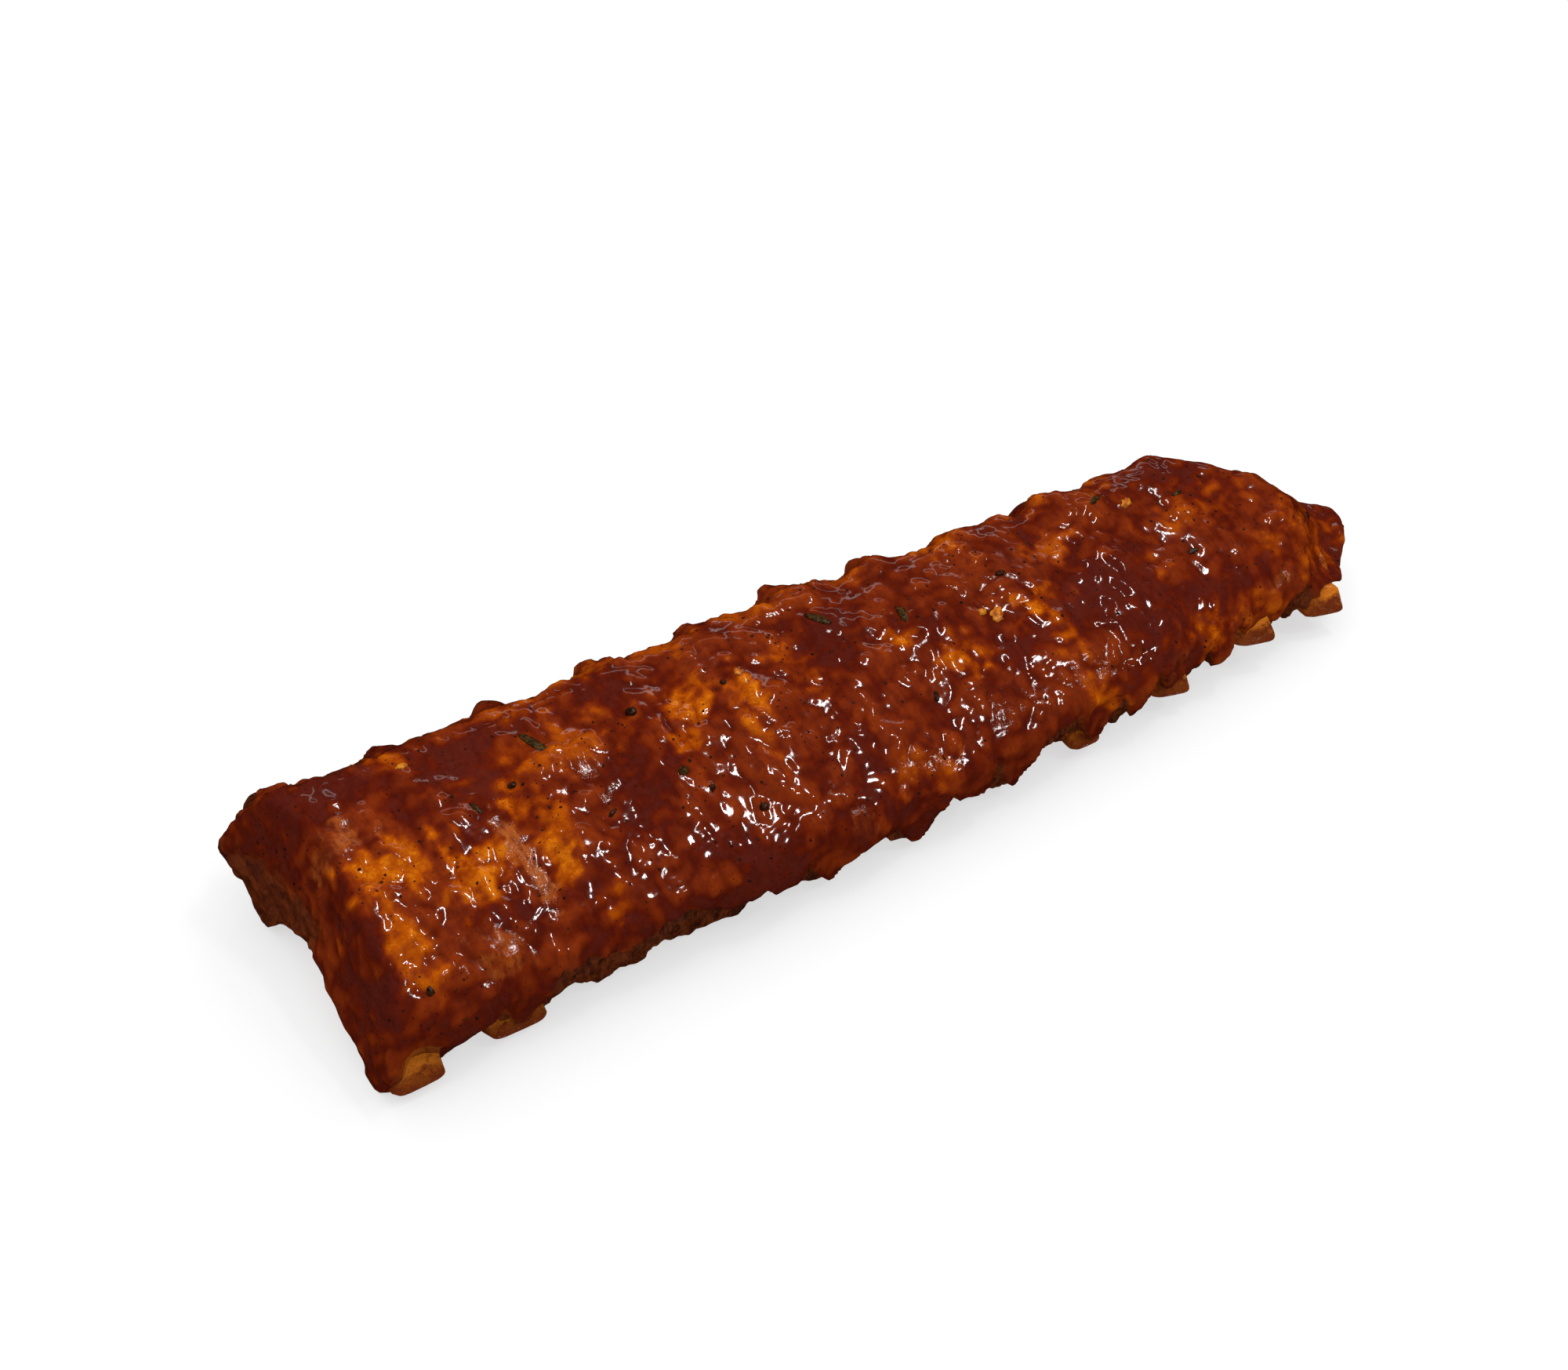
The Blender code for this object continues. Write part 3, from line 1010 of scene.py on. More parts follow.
class MeatPattern:
    """What the glazed meat's colours follow: the stored covers and noise, about zero."""

    def __init__(self, shader: Shader) -> None:
        """Read the covers and lay the noise, from the broadest to the finest.

        Args:
            shader: the material under construction.
        """
        self.film = shader.attribute("film")
        self.fat = shader.attribute("fat")
        self.fibre = shader.attribute("fibre")
        self.dry = shader.attribute("dry")
        # Painted light and shade: how far each place stands out, lightening the crests and darkening
        # the creases.
        self.relief_shading = shader.attribute("relief_shading") - 0.5
        self.cloud = shader.noise(60.0, 3.0, 0.8) - 0.5
        self.blotch = shader.noise(170.0, 3.0, 1.2) - 0.5
        self.mottle = shader.noise(480.0, 3.0, 0.8) - 0.5
        self.fleck = shader.noise(820.0, 3.0, 1.0) - 0.5
        self.grain = shader.noise(1300.0, 2.0) - 0.5
        self.streak = shader.noise(1.0, 3.0, 0.4, shader.stretched((560.0, 80.0, 160.0), 12.0)) - 0.5


@dataclass(frozen=True)
class GlazedMeatFinish:
    """Meat and fat under a sauce that is amber where thin and dark red where deep, with painted
    light on the relief's crests and painted shade in its creases.
    """

    flesh: Colour = (0.205, 0.0320, 0.0045, 1.0)
    flesh_dark: Colour = (0.115, 0.0165, 0.0055, 1.0)
    orange: Colour = (0.380, 0.0860, 0.0016, 1.0)
    amber: Colour = (0.570, 0.1850, 0.0040, 1.0)
    tan: Colour = (0.360, 0.105, 0.0160, 1.0)
    thin_tint: Colour = (0.920, 0.740, 0.7000, 1.0)
    sauce_tint: Colour = (0.500, 0.250, 0.2600, 1.0)
    deep: Colour = (0.080, 0.0130, 0.0085, 1.0)
    dry: Colour = (0.135, 0.0240, 0.0035, 1.0)
    dry_dark: Colour = (0.034, 0.0060, 0.0022, 1.0)
    char: Colour = (0.014, 0.007, 0.0045, 1.0)
    # Where each colour begins and is full.
    flesh_range: Range = (-0.30, 0.25)
    orange_range: Range = (0.10, 0.80)
    amber_range: Range = (0.70, 1.30)
    tan_range: Range = (0.20, 0.95)
    tint_range: Range = (-0.10, 0.90)
    deep_range: Range = (0.50, 1.40)
    deep_share: float = 0.75
    dry_range: Range = (-0.25, 0.30)
    # Ground pepper and char: points so many to a metre, so wide, and only in some clouds.
    pepper_scale: float = 300.0
    pepper_size: Range = (0.10, 0.17)
    pepper_clouds: Range = (-0.05, 0.12)
    char_scale: float = 520.0
    char_size: Range = (0.10, 0.19)
    char_blotches: Range = (0.02, 0.14)
    char_share: float = 0.85
    roughness_wet: float = 0.085
    roughness_dry: float = 0.26
    roughness_fibre: float = 0.04
    roughness_grain: float = 0.08
    coat: float = 0.35
    bump_depth: float = 0.0012
    bump_strength: float = 0.8

    def make(self) -> bpy.types.Material:
        """Return the material.

        Returns:
            The glazed meat's material.
        """
        shader = Shader("glazed_meat")
        pattern = MeatPattern(shader)
        dry = pattern.dry
        colour = shader.mix(dry, self.glazed(shader, pattern), self.crust(shader, pattern))
        roughness = self.roughness_wet + (self.roughness_dry - self.roughness_wet) * dry
        roughness = roughness + self.roughness_fibre * pattern.fibre
        shader.set(
            Base_Color=shader.mix(self.specks(shader, pattern), colour, self.char),
            Roughness=roughness + self.roughness_grain * pattern.grain,
            Coat_Weight=self.coat * (1.0 - dry),
            Coat_Roughness=0.04,
            Coat_IOR=1.42,
            Specular_IOR_Level=0.40,
            Subsurface_Weight=0.15,
            Subsurface_Scale=0.0015,
            Subsurface_Radius=(1.0, 0.25, 0.08),
        )
        rough = pattern.fibre.most(dry)
        relief = 0.15 * shader.noise(230.0, 0.5, 0.3) + 0.35 * pattern.mottle * (0.04 + rough)
        relief = relief + 0.35 * pattern.streak * (0.05 + rough) + 0.22 * pattern.grain * rough
        shader.bump(relief, self.bump_depth, self.bump_strength)
        return shader.material

    def meat(self, shader: Shader, pattern: MeatPattern) -> bpy.types.NodeSocket:
        """Return the colour of the meat and the fat under the sauce.

        Args:
            shader: the material under construction.
            pattern: what its colours follow.

        Returns:
            The colour, from dark flesh to amber fat, with tan fibre.
        """
        fat = pattern.fat
        # Crests turn more amber and creases darker: partly fat showing on the crests, partly painted
        # light on them and painted shade in the creases.
        fatness = 1.0 * fat + 0.50 * pattern.cloud + 0.48 * pattern.blotch
        fatness = fatness + 0.70 * pattern.mottle + 0.45 * pattern.relief_shading + 0.40 * pattern.streak
        fatness = fatness + 0.95 * pattern.fleck * (0.2 + fat) + 0.9 * pattern.relief_shading * fat
        flesh = (fatness + 0.2 * pattern.streak).between(*self.flesh_range)
        amber = (fatness + 0.5 * pattern.fleck).between(*self.amber_range)
        tan = pattern.fibre * (0.75 + 1.6 * pattern.streak + 0.8 * pattern.mottle)
        colour = shader.mix(flesh, self.flesh_dark, self.flesh)
        colour = shader.mix(fatness.between(*self.orange_range), colour, self.orange)
        colour = shader.mix(amber, colour, self.amber)
        return shader.mix(tan.between(*self.tan_range), colour, self.tan)

    def glazed(self, shader: Shader, pattern: MeatPattern) -> bpy.types.NodeSocket:
        """Return the colour of the meat seen through the sauce.

        Args:
            shader: the material under construction.
            pattern: what its colours follow.

        Returns:
            The colour, darker and redder where the sauce is deep and in the creases, whose darkening
            is partly painted shade.
        """
        depth = 0.95 * pattern.film + 0.25 * pattern.cloud + 0.30 * pattern.blotch
        depth = depth + 0.40 * pattern.mottle + 0.20 * pattern.fleck + 0.15 * pattern.streak
        # Creases count as deeper sauce and crests as thinner: partly sauce gathering in the creases,
        # partly painted shade in them.
        depth = depth - 0.40 * pattern.relief_shading - 0.35 * pattern.fleck * pattern.fat
        tint = shader.mix(depth.between(*self.tint_range), self.thin_tint, self.sauce_tint)
        colour = shader.blend("MULTIPLY", self.meat(shader, pattern), tint)
        return shader.mix(depth.between(*self.deep_range) * self.deep_share, colour, self.deep)

    def crust(self, shader: Shader, pattern: MeatPattern) -> bpy.types.NodeSocket:
        """Return the colour of the dry crust, where there is no sauce.

        Args:
            shader: the material under construction.
            pattern: what its colours follow.

        Returns:
            The colour.
        """
        light = pattern.streak + 0.6 * pattern.blotch + 0.5 * pattern.mottle
        return shader.mix(light.between(*self.dry_range), self.dry_dark, self.dry)

    def specks(self, shader: Shader, pattern: MeatPattern) -> Value:
        """Return how much each place is covered by pepper and char.

        Args:
            shader: the material under construction.
            pattern: what they follow.

        Returns:
            The share of the char's colour.
        """
        pepper = 1.0 - shader.cells(self.pepper_scale).between(*self.pepper_size)
        char = 1.0 - shader.cells(self.char_scale).between(*self.char_size)
        pepper = pepper * pattern.cloud.between(*self.pepper_clouds)
        char = char * pattern.blotch.between(*self.char_blotches)
        return pepper.most(char) * self.char_share


# ---------------------------------------------------------------- the meat


@dataclass(frozen=True)
class Surface:
    """The dressed surface, for laying things on it.

    `points` and `normals` have a row for each vertex; `x` and `reach` are its place along
    the slab and along its section, in millimetres, and `upper` says if it is on top.
    """

    FAR = 1000.0

    points: Array
    normals: Array
    x: Array
    reach: Array
    upper: Array

    def nearest(self, x: float, reach: float) -> int:
        """Return the vertex of the upper side nearest to (x, reach)."""
        gap = np.hypot(self.x - x, self.reach - reach) + np.where(self.upper, 0.0, self.FAR)
        return int(np.argmin(gap))

    def frame_at(self, vertex: int, turn: float, lift: float) -> Matrix:
        """Return the frame that stands on `vertex`, turned about its normal.

        Args:
            vertex: the vertex's number.
            turn: the angle about the normal, in degrees.
            lift: how far the frame stands off the surface, in metres.

        Returns:
            A matrix whose Z axis is the normal.
        """
        normal = Vector(self.normals[vertex]).normalized()
        spin = normal.to_track_quat("Z", "Y") @ Quaternion((0.0, 0.0, 1.0), math.radians(turn))
        return Matrix.LocRotScale(Vector(self.points[vertex]) + normal * lift, spin, None)


@dataclass(frozen=True)
class EndShape:
    """How the slab's cut ends depart from the plain form, in metres."""

    # The foot of the front corner, tucked under the thick end.
    corner_tuck: float = 0.004
    corner_along: Ramp = Ramp(0.0, 0.020)
    corner_up: Ramp = Ramp(0.0, 0.014)
    corner_depth: Ramp = Ramp(0.020, 0.020)
    # The heel at the loin, tucked and lifted at its foot, with a knob above it.
    heel_along: Ramp = Ramp(0.0, 0.030)
    heel_depth: Ramp = Ramp(0.045, 0.030)
    heel_tuck: float = 0.0045
    heel_tuck_up: Ramp = Ramp(0.0, 0.026)
    heel_lift: float = 0.0015
    heel_lift_up: Ramp = Ramp(0.0, 0.020)
    knob_out: float = 0.0025
    knob_depth: Ramp = Ramp(0.082, 0.010)
    knob_foot: Ramp = Ramp(0.018, 0.008)
    knob_top: Ramp = Ramp(0.034, 0.008)
    # The thin end's tongue: it reaches out at its middle, lifts its edge and sinks on top.
    tip_along: Ramp = Ramp(0.366, 0.032)
    tip_reach: float = 0.0042
    tip_middle: float = 0.027
    tip_half_width: float = 0.015
    tip_lift: float = 0.008
    tip_lift_up: Ramp = Ramp(0.0, 0.024)
    tip_sink: float = 0.0050
    tip_sink_up: Ramp = Ramp(0.012, 0.012)

    def applied(self, x: Array, y: Array, z: Array, thick_start: float) -> tuple[Array, Array]:
        """Return the points' new places along X and up.

        Args:
            x: the points' places along X.
            y: their depths.
            z: their heights.
            thick_start: where the thick end stands.

        Returns:
            The new places along X and the new heights.
        """
        corner = self.corner_along.fall(x - thick_start) * self.corner_up.fall(z)
        x = x + self.corner_tuck * corner * self.corner_depth.fall(y)
        start = self.heel_along.fall(x - thick_start)
        loin = start * self.heel_depth.rise(y)
        x = x + self.heel_tuck * loin * self.heel_tuck_up.fall(z)
        z = z + self.heel_lift * loin * self.heel_lift_up.fall(z)
        knob = start * self.knob_depth.rise(y) * self.knob_foot.rise(z)
        x = x - self.knob_out * knob * self.knob_top.fall(z)
        tip = self.tip_along.rise(x)
        nose = np.clip(1.0 - np.abs(y - self.tip_middle) / self.tip_half_width, 0.0, 1.0)
        x = x + self.tip_reach * tip * nose
        lift = self.tip_lift * self.tip_lift_up.fall(z) - self.tip_sink * self.tip_sink_up.rise(z)
        return x, z + tip * lift


@dataclass(frozen=True)
class SmoothSkin:
    """The smooth skin before its relief, with a row for each vertex.

    `spots` holds the vertex's place and `reach` its place along its section, both in
    millimetres, and `side` holds its place in the unit block.
    """

    spots: Array
    reach: Array
    side: Array

    @property
    def under(self) -> Array:
        """Return 1 on the underside and 0 elsewhere."""
        return (self.side[:, 2] < TINY).astype(float)

    @property
    def end(self) -> Array:
        """Return 1 on the faces of both cut ends and 0 elsewhere."""
        cut = (self.side[:, 0] < TINY) | (self.side[:, 0] > 1.0 - TINY)
        return cut.astype(float) * (1.0 - self.under)

    @property
    def near(self) -> Array:
        """Return 1 on the face of the thick end and 0 elsewhere."""
        return self.end * (self.side[:, 0] < 0.5)


@dataclass(frozen=True)
class Cover:
    """What lies on each vertex, from 0 to 1: fat, bare fibre, pooled sauce or a dry crust."""

    fat: Array
    fibre: Array
    pool: Array
    dry: Array


@dataclass(frozen=True)
class Raised:
    """The relief over the smooth skin: a row for each vertex.

    `height` is in millimetres; `film` is the sauce's depth and `relief_shading` says how far each
    place stands out of its surroundings, both from 0 to 1; the finish turns the latter into
    painted light on the crests and painted shade in the creases.
    """

    height: Array
    film: Array
    relief_shading: Array


@dataclass(frozen=True)
class MeatRelief:
    """The seeded relief of meat, fat and sauce, in millimetres."""

    lumps: tuple[Layer, ...] = (Layer(11, 27.0, 1.5), Layer(12, 14.0, 2.6, Wave.CREASED))
    crinkle: tuple[Layer, ...] = (Layer(13, 6.8, 1.6, Wave.CREASED), Layer(14, 3.2, 0.35))
    gristle: tuple[Layer, ...] = (Layer(24, 3.4, 0.45, Wave.CREASED),)
    knots: tuple[Layer, ...] = (Layer(25, 9.0, 1.5, Wave.CREASED, 0.25),)
    nubs: tuple[Layer, ...] = (Layer(22, 4.2, 0.75, Wave.CREASED),)
    tatters: tuple[Layer, ...] = (Layer(23, 8.5, 1.6, Wave.CREASED, 0.25),)
    pools: tuple[Layer, ...] = (Layer(16, 30.0, 0.60), Layer(17, 14.0, 0.50))
    ripples: tuple[Layer, ...] = (Layer(18, 6.0, 0.30), Layer(19, 3.2, 0.07))
    bubbles: tuple[Pimples, ...] = (Pimples(20, 5.6, 0.30), Pimples(21, 3.8, 0.22))
    strand_seed: int = 15
    strand_width: float = 1.9
    strand_length: float = 12.0
    strand_height: float = 0.25
    strand_least: float = 0.08
    # How fibre and fat alter the relief.
    fibre_rise: float = 0.5
    fat_sink: float = 0.1
    fibre_nubs: float = 0.4
    end_tatters: float = 0.5
    # The knots are strongest near the thick end, the tatters over the loin bulge.
    knot_along: Ramp = Ramp(57.0, 25.0)
    knot_least: float = 0.3
    tatter_reach: Ramp = Ramp(116.0, 12.0)
    # The sauce's level over the meat, and how it gathers above the lip.
    sauce_level: float = 0.35
    sauce_knee: float = 0.35
    pool_rise: float = 1.3
    near_rise: float = 0.9
    fat_drain: float = 0.55
    fibre_drain: float = 1.0
    dry_drain: float = 2.5
    lip_rise: float = 0.9
    lip_reach: Ramp = Ramp(28.0, 16.0)
    fat_calm: float = 0.4
    film_share: float = 0.68
    film_full: float = 2.2
    # How far the dry band lies behind the lip, and where it is deepest.
    undercut: float = 2.0
    undercut_along: Ramp = Ramp(60.0, 20.0)
    undercut_least: float = 0.35
    underside_share: float = 0.25
    # How the crests of the relief are weighed for the finish, which paints light on them and shade
    # in the creases.
    crest_gain: float = 0.42
    nub_crests: float = 1.3
    lump_crests: float = 0.25

    def strands(self, form: SlabForm, skin: SmoothSkin) -> Array:
        """Return the fine strands that run across the rack beside the ribs.

        Args:
            form: the slab's form, which gives the ribs' run.
            skin: the smooth skin.

        Returns:
            Values of about -1 to 1.
        """
        x, y, _ = skin.spots.T
        across = x - form.rib_shift(x * MM, y * MM) / MM
        along = [across / self.strand_width, skin.reach / self.strand_length, 0.0 * x]
        return GradientNoise(self.strand_seed).layered(np.stack(along, axis=1), 2)

    def sauce_over(self, meat: Array, skin: SmoothSkin, cover: Cover) -> Array:
        """Return the depth of the sauce.

        Args:
            meat: the height of the meat under it.
            skin: the smooth skin.
            cover: what lies on it.

        Returns:
            The depth at each vertex, in millimetres.
        """
        level = self.sauce_level + piled(self.pools, skin.spots)
        level += self.pool_rise * cover.pool + self.near_rise * skin.near
        level -= self.fat_drain * cover.fat + self.fibre_drain * cover.fibre
        level -= self.dry_drain * cover.dry
        level += self.lip_rise * self.lip_reach.fall(skin.reach) * (1.0 - skin.end)
        return soft_excess(level - meat, self.sauce_knee)

    def raised(self, form: SlabForm, skin: SmoothSkin, cover: Cover) -> Raised:
        """Return the relief that the meat and the sauce give the skin.

        Args:
            form: the slab's form.
            skin: the smooth skin.
            cover: what lies on it.

        Returns:
            Its height, the sauce's depth and its crests.
        """
        spots = skin.spots
        lumps = piled(self.lumps, spots)
        crinkle = piled(self.crinkle, spots)
        nubs = piled(self.nubs, spots) * np.maximum(cover.fat, self.fibre_nubs * cover.fibre)
        stringy = self.strand_height * (self.strand_least + cover.fibre + cover.dry)
        knotty = self.share(self.knot_least, self.knot_along.fall(spots[:, 0]))
        loose = np.maximum(self.tatter_reach.rise(skin.reach), self.end_tatters * skin.end)
        meat = lumps + crinkle + nubs + piled(self.gristle, spots)
        meat += self.fibre_rise * cover.fibre - self.fat_sink * cover.fat
        meat += stringy * self.strands(form, skin)
        meat += knotty * piled(self.knots, spots) + loose * piled(self.tatters, spots)
        film = self.sauce_over(meat, skin, cover)
        ripples = piled(self.ripples, spots)
        bubbles = piled(self.bubbles, spots) * (1.0 - self.fat_calm * cover.fat)
        wet = 1.0 - cover.dry
        hollow = self.undercut * self.share(
            self.undercut_least, self.undercut_along.rise(spots[:, 0])
        )
        height = meat + self.film_share * film + wet * (ripples + bubbles)
        height -= hollow * cover.dry * (1.0 - skin.under)
        height *= self.share(self.underside_share, 1.0 - skin.under)
        # How far each place stands out, which the finish turns into painted light on the crests and
        # painted shade in the creases.
        relief_shading = crinkle + self.nub_crests * nubs + self.lump_crests * lumps + ripples
        return Raised(
            height=height,
            film=np.clip(film / self.film_full, 0.0, 1.0) * wet,
            relief_shading=np.clip(0.5 + self.crest_gain * relief_shading, 0.0, 1.0),
        )

    @staticmethod
    def share(least: float, rest: Array) -> Array:
        """Return `least` where `rest` is 0, rising to 1 where it is 1."""
        return least + (1.0 - least) * rest


@dataclass
class MeatSlab:
    """The slab of meat with its glaze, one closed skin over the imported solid."""

    form: SlabForm
    stations: int = 380
    across: int = 140
    upright: int = 40
    rim_passes: int = 14
    rim_width: float = 0.010
    rim_pull: float = 0.6
    ends: EndShape = EndShape()
    # Where the folds of the front foot and of the loin edge reach, in metres.
    front_up: Ramp = Ramp(0.0, 0.024)
    front_depth: Ramp = Ramp(0.011, 0.030)
    loin_depth: Ramp = Ramp(-0.030, 0.022)
    loin_lift: float = 0.35
    loin_up: Ramp = Ramp(0.0, 0.020)
    # Where the sauce ends, in millimetres, and how ragged its edges are.
    ragged_seed: int = 3
    ragged_span: float = 6.0
    lip_highest: float = 35.0
    lip_ripple: Layer = Layer(5, 7.0, 1.8)
    lip_edge: float = 1.6
    loin_dry: Ramp = Ramp(146.0, 3.0)
    loin_ragged: float = 5.0
    heel_share: float = 0.85
    heel_depth: Ramp = Ramp(44.0, 6.0)
    heel_depth_ragged: float = 3.0
    heel_up: Ramp = Ramp(25.0, 7.0)
    heel_up_ragged: float = 4.0
    relief: MeatRelief = MeatRelief()
    skin: bpy.types.Object = field(init=False)
    surface: Surface = field(init=False)

    def block(self) -> bmesh.types.BMesh:
        """Return a closed unit block.

        Returns:
            The block, divided finely except on its underside and its two sides.
        """
        block = bmesh.new()
        bmesh.ops.create_cube(block, size=1.0)
        bmesh.ops.translate(block, verts=block.verts, vec=(0.5, 0.5, 0.5))
        for axis, spans in enumerate((self.stations // 2, self.across // 2, self.upright // 4)):
            self.divide(block, list(block.edges), axis, spans - 1)
        for axis in range(3):
            self.divide(block, [edge for edge in block.edges if self.is_above(edge)], axis, 1)
        self.divide(block, [edge for edge in block.edges if self.is_on_end(edge)], 2, 1)
        bmesh.ops.triangulate(block, faces=[face for face in block.faces if len(face.verts) > 4])
        return block

    @staticmethod
    def is_above(edge: bmesh.types.BMEdge) -> bool:
        """Return whether `edge` belongs to a face that isn't on the block's underside."""
        return any(vert.co.z > TINY for face in edge.link_faces for vert in face.verts)

    @staticmethod
    def is_on_end(edge: bmesh.types.BMEdge) -> bool:
        """Return whether `edge` lies on one of the block's two ends."""
        return all(not TINY <= vert.co.x <= 1.0 - TINY for vert in edge.verts)

    @staticmethod
    def divide(
        block: bmesh.types.BMesh, edges: list[bmesh.types.BMEdge], axis: int, cuts: int
    ) -> None:
        """Cut edges of the block into equal parts.

        Args:
            block: the block.
            edges: the edges to choose from.
            axis: the axis that the chosen edges run along.
            cuts: the number of cuts in each.
        """
        chosen = [
            edge for edge in edges
            if abs((edge.verts[0].co - edge.verts[1].co)[axis]) > TINY
        ]
        bmesh.ops.subdivide_edges(block, edges=chosen, cuts=cuts, use_grid_fill=True)

    def build(self) -> None:
        """Shape the block into the slab and lay the meat's relief and the sauce on it."""
        block = self.block()
        mesh = bpy.data.meshes.new("glazed_meat")
        block.to_mesh(mesh)
        block.free()
        spans = np.array((self.stations, self.across, self.upright))
        cell = np.rint(read_rows(mesh.vertices, "co", 3, float) * spans).astype(int)
        points, reach, nominal = self.shape(cell)
        points = self.fold_edges(points)
        points = self.round_rims(points, read_rows(mesh.edges, "vertices", 2, int), cell[:, 0])
        mesh.vertices.foreach_set("co", points.ravel())
        mesh.update()
        normals = read_rows(mesh.vertex_normals, "vector", 3, float)
        skin = SmoothSkin(points / MM, reach / MM, cell / spans)
        points += normals * (self.dress_relief(mesh, skin) * MM)[:, None]
        points += np.array(self.form.origin())
        points[:, 2] = np.maximum(points[:, 2], 0.0)
        mesh.vertices.foreach_set("co", points.ravel())
        mesh.shade_smooth()
        mesh.update()
        self.surface = Surface(points, normals, nominal / MM, skin.reach, skin.side[:, 2] > 0.5)
        self.skin = bpy.data.objects.new("glazed_meat", mesh)
        bpy.context.scene.collection.objects.link(self.skin)

    def shape(self, cell: Array) -> tuple[Array, Array, Array]:
        """Return the block's vertices laid on the slab's smooth form.

        Args:
            cell: for each vertex its place in the block, counted in spans.

        Returns:
            The points, their reach along their sections and their even places along X.
        """
        station, across, upright = cell.T
        curves = SectionCurves(self.form, self.stations, self.across, self.upright)
        y, z, out, up, reach = curves.at(station, across, upright).T
        nominal = station * self.form.length / self.stations
        swell = self.form.rib_swell(self.form.place_along(nominal, y, z), y)
        y = y + out * swell
        z = z + up * swell
        return np.stack([self.form.place_along(nominal, y, z), y, z], axis=1), reach, nominal

    def fold_edges(self, points: Array) -> Array:
        """Return the points with the ends shaped and both edges standing out and in.

        Args:
            points: the smooth form's points.

        Returns:
            The moved points.
        """
        x, y, z = points.T
        front = self.front_up.fall(z) * self.front_depth.fall(y)
        rear = self.loin_depth.rise(y - self.form.back_line(x))
        out = np.zeros_like(x)
        lift = np.zeros_like(x)
        for fold in FRONT_FOLDS:
            moved = fold.share(x / MM) * front * MM
            out -= fold.out * moved
            lift += fold.lift * moved
        for fold in BACK_FOLDS:
            moved = fold.out * fold.share(x / MM) * rear * MM
            out += moved
            lift += self.loin_lift * moved * self.loin_up.rise(z)
        x, z = self.ends.applied(x, y, z, self.form.thick_start)
        return np.stack([x, y + out, z + lift], axis=1)

    def sauce_line(self, x: Array) -> Array:
        """Return how far up the front the sauce ends.

        Args:
            x: places along the slab, in millimetres.

        Returns:
            The reach of the sauce's lower edge there, in millimetres.
        """
        line = np.full_like(x, self.lip_highest)
        for lobe in SAUCE_LOBES:
            drop = (self.lip_highest - lobe.low) * lobe.share(x)
            line = np.minimum(line, self.lip_highest - drop)
        return line

    def round_rims(self, points: Array, edges: Array, station: Array) -> Array:
        """Return the points with the rims of both cut ends rounded off.

        Args:
            points: the folded form's points.
            edges: the two vertices of each edge.
            station: each point's place along the block, counted in spans.

        Returns:
            The moved points.
        """
        span = self.form.length / self.stations
        inward = np.minimum(station, self.stations - station) * span
        hold = Ramp(0.0, self.rim_width).fall(inward)[:, None]
        links = np.bincount(edges.ravel(), minlength=len(points))[:, None]
        for _ in range(self.rim_passes):
            total = np.zeros_like(points)
            for a, b in ((0, 1), (1, 0)):
                for axis in range(3):
                    total[:, axis] += np.bincount(
                        edges[:, a], points[edges[:, b], axis], minlength=len(points)
                    )
            points = points + hold * self.rim_pull * (total / links - points)
        return points

    def cover(self, skin: SmoothSkin) -> Cover:
        """Return what lies on each vertex of the skin.

        Args:
            skin: the smooth skin.

        Returns:
            The fat, the bare fibre, the pooled sauce and the dry crust.
        """
        x, y, z = skin.spots.T
        ragged = GradientNoise(self.ragged_seed).layered(skin.spots / self.ragged_span, 3)
        lip = self.sauce_line(x) + self.lip_ripple.at(skin.spots * (1.0, 0.0, 0.0))
        below_lip = smooth((lip - skin.reach) / self.lip_edge)
        below_loin = self.loin_dry.rise(skin.reach - self.loin_ragged * ragged)
        band = np.maximum(below_lip, below_loin) * (1.0 - skin.end)
        heel = self.heel_depth.rise(y + self.heel_depth_ragged * ragged)
        heel *= self.heel_up.fall(z - self.heel_up_ragged * ragged)
        crust = self.heel_share * skin.near * heel
        return Cover(
            fat=covered(FAT_PATCHES, x, skin.reach, ragged),
            fibre=covered(FIBRE_PATCHES, x, skin.reach, ragged),
            pool=covered(POOL_PATCHES, x, skin.reach, 0.6 * ragged),
            dry=np.maximum(np.maximum(band, skin.under), crust),
        )

    def dress_relief(self, mesh: bpy.types.Mesh, skin: SmoothSkin) -> Array:
        """Store how the skin is covered and return how far it is raised.

        Args:
            mesh: the skin's mesh, which gets the attributes film, crest, fat, fibre and dry.
            skin: the smooth skin.

        Returns:
            The height of each vertex over its smooth place, in millimetres.
        """
        cover = self.cover(skin)
        raised = self.relief.raised(self.form, skin, cover)
        store(mesh, "film", raised.film)
        store(mesh, "relief_shading", raised.relief_shading)
        store(mesh, "fat", np.clip(cover.fat, 0.0, 1.0))
        store(mesh, "fibre", np.clip(cover.fibre, 0.0, 1.0))
        store(mesh, "dry", cover.dry)
        return raised.height

    def dress(self, finish: GlazedMeatFinish) -> None:
        """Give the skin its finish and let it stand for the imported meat.

        Args:
            finish: the glazed meat's finish.
        """
        self.skin.data.materials.append(finish.make())
        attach(self.skin, "root")
        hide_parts("meat")


# ---------------------------------------------------------------- the bones


@dataclass(frozen=True)
class RibEnd:
    """How one rib stands out of the front edge, in millimetres.

    `tip` is the depth of its sawn end, `wide` half its width there, `thick` half its
    thickness, `near` how much wider it is towards the thick end, `bare` how little sauce
    is on it and `side_bare` how much less is on the side towards the thick end. `lift` and
    `lean` are how far the end rises and how far it turns towards the thin end, and `skew`
    is how much further its corner towards the thin end stands out.
    """

    tip: float
    wide: float = 7.6
    thick: float = 4.4
    near: float = 0.0
    bare: float = 0.0
    lift: float = 0.0
    lean: float = 0.0
    side_bare: float = 0.0
    skew: float = 0.0


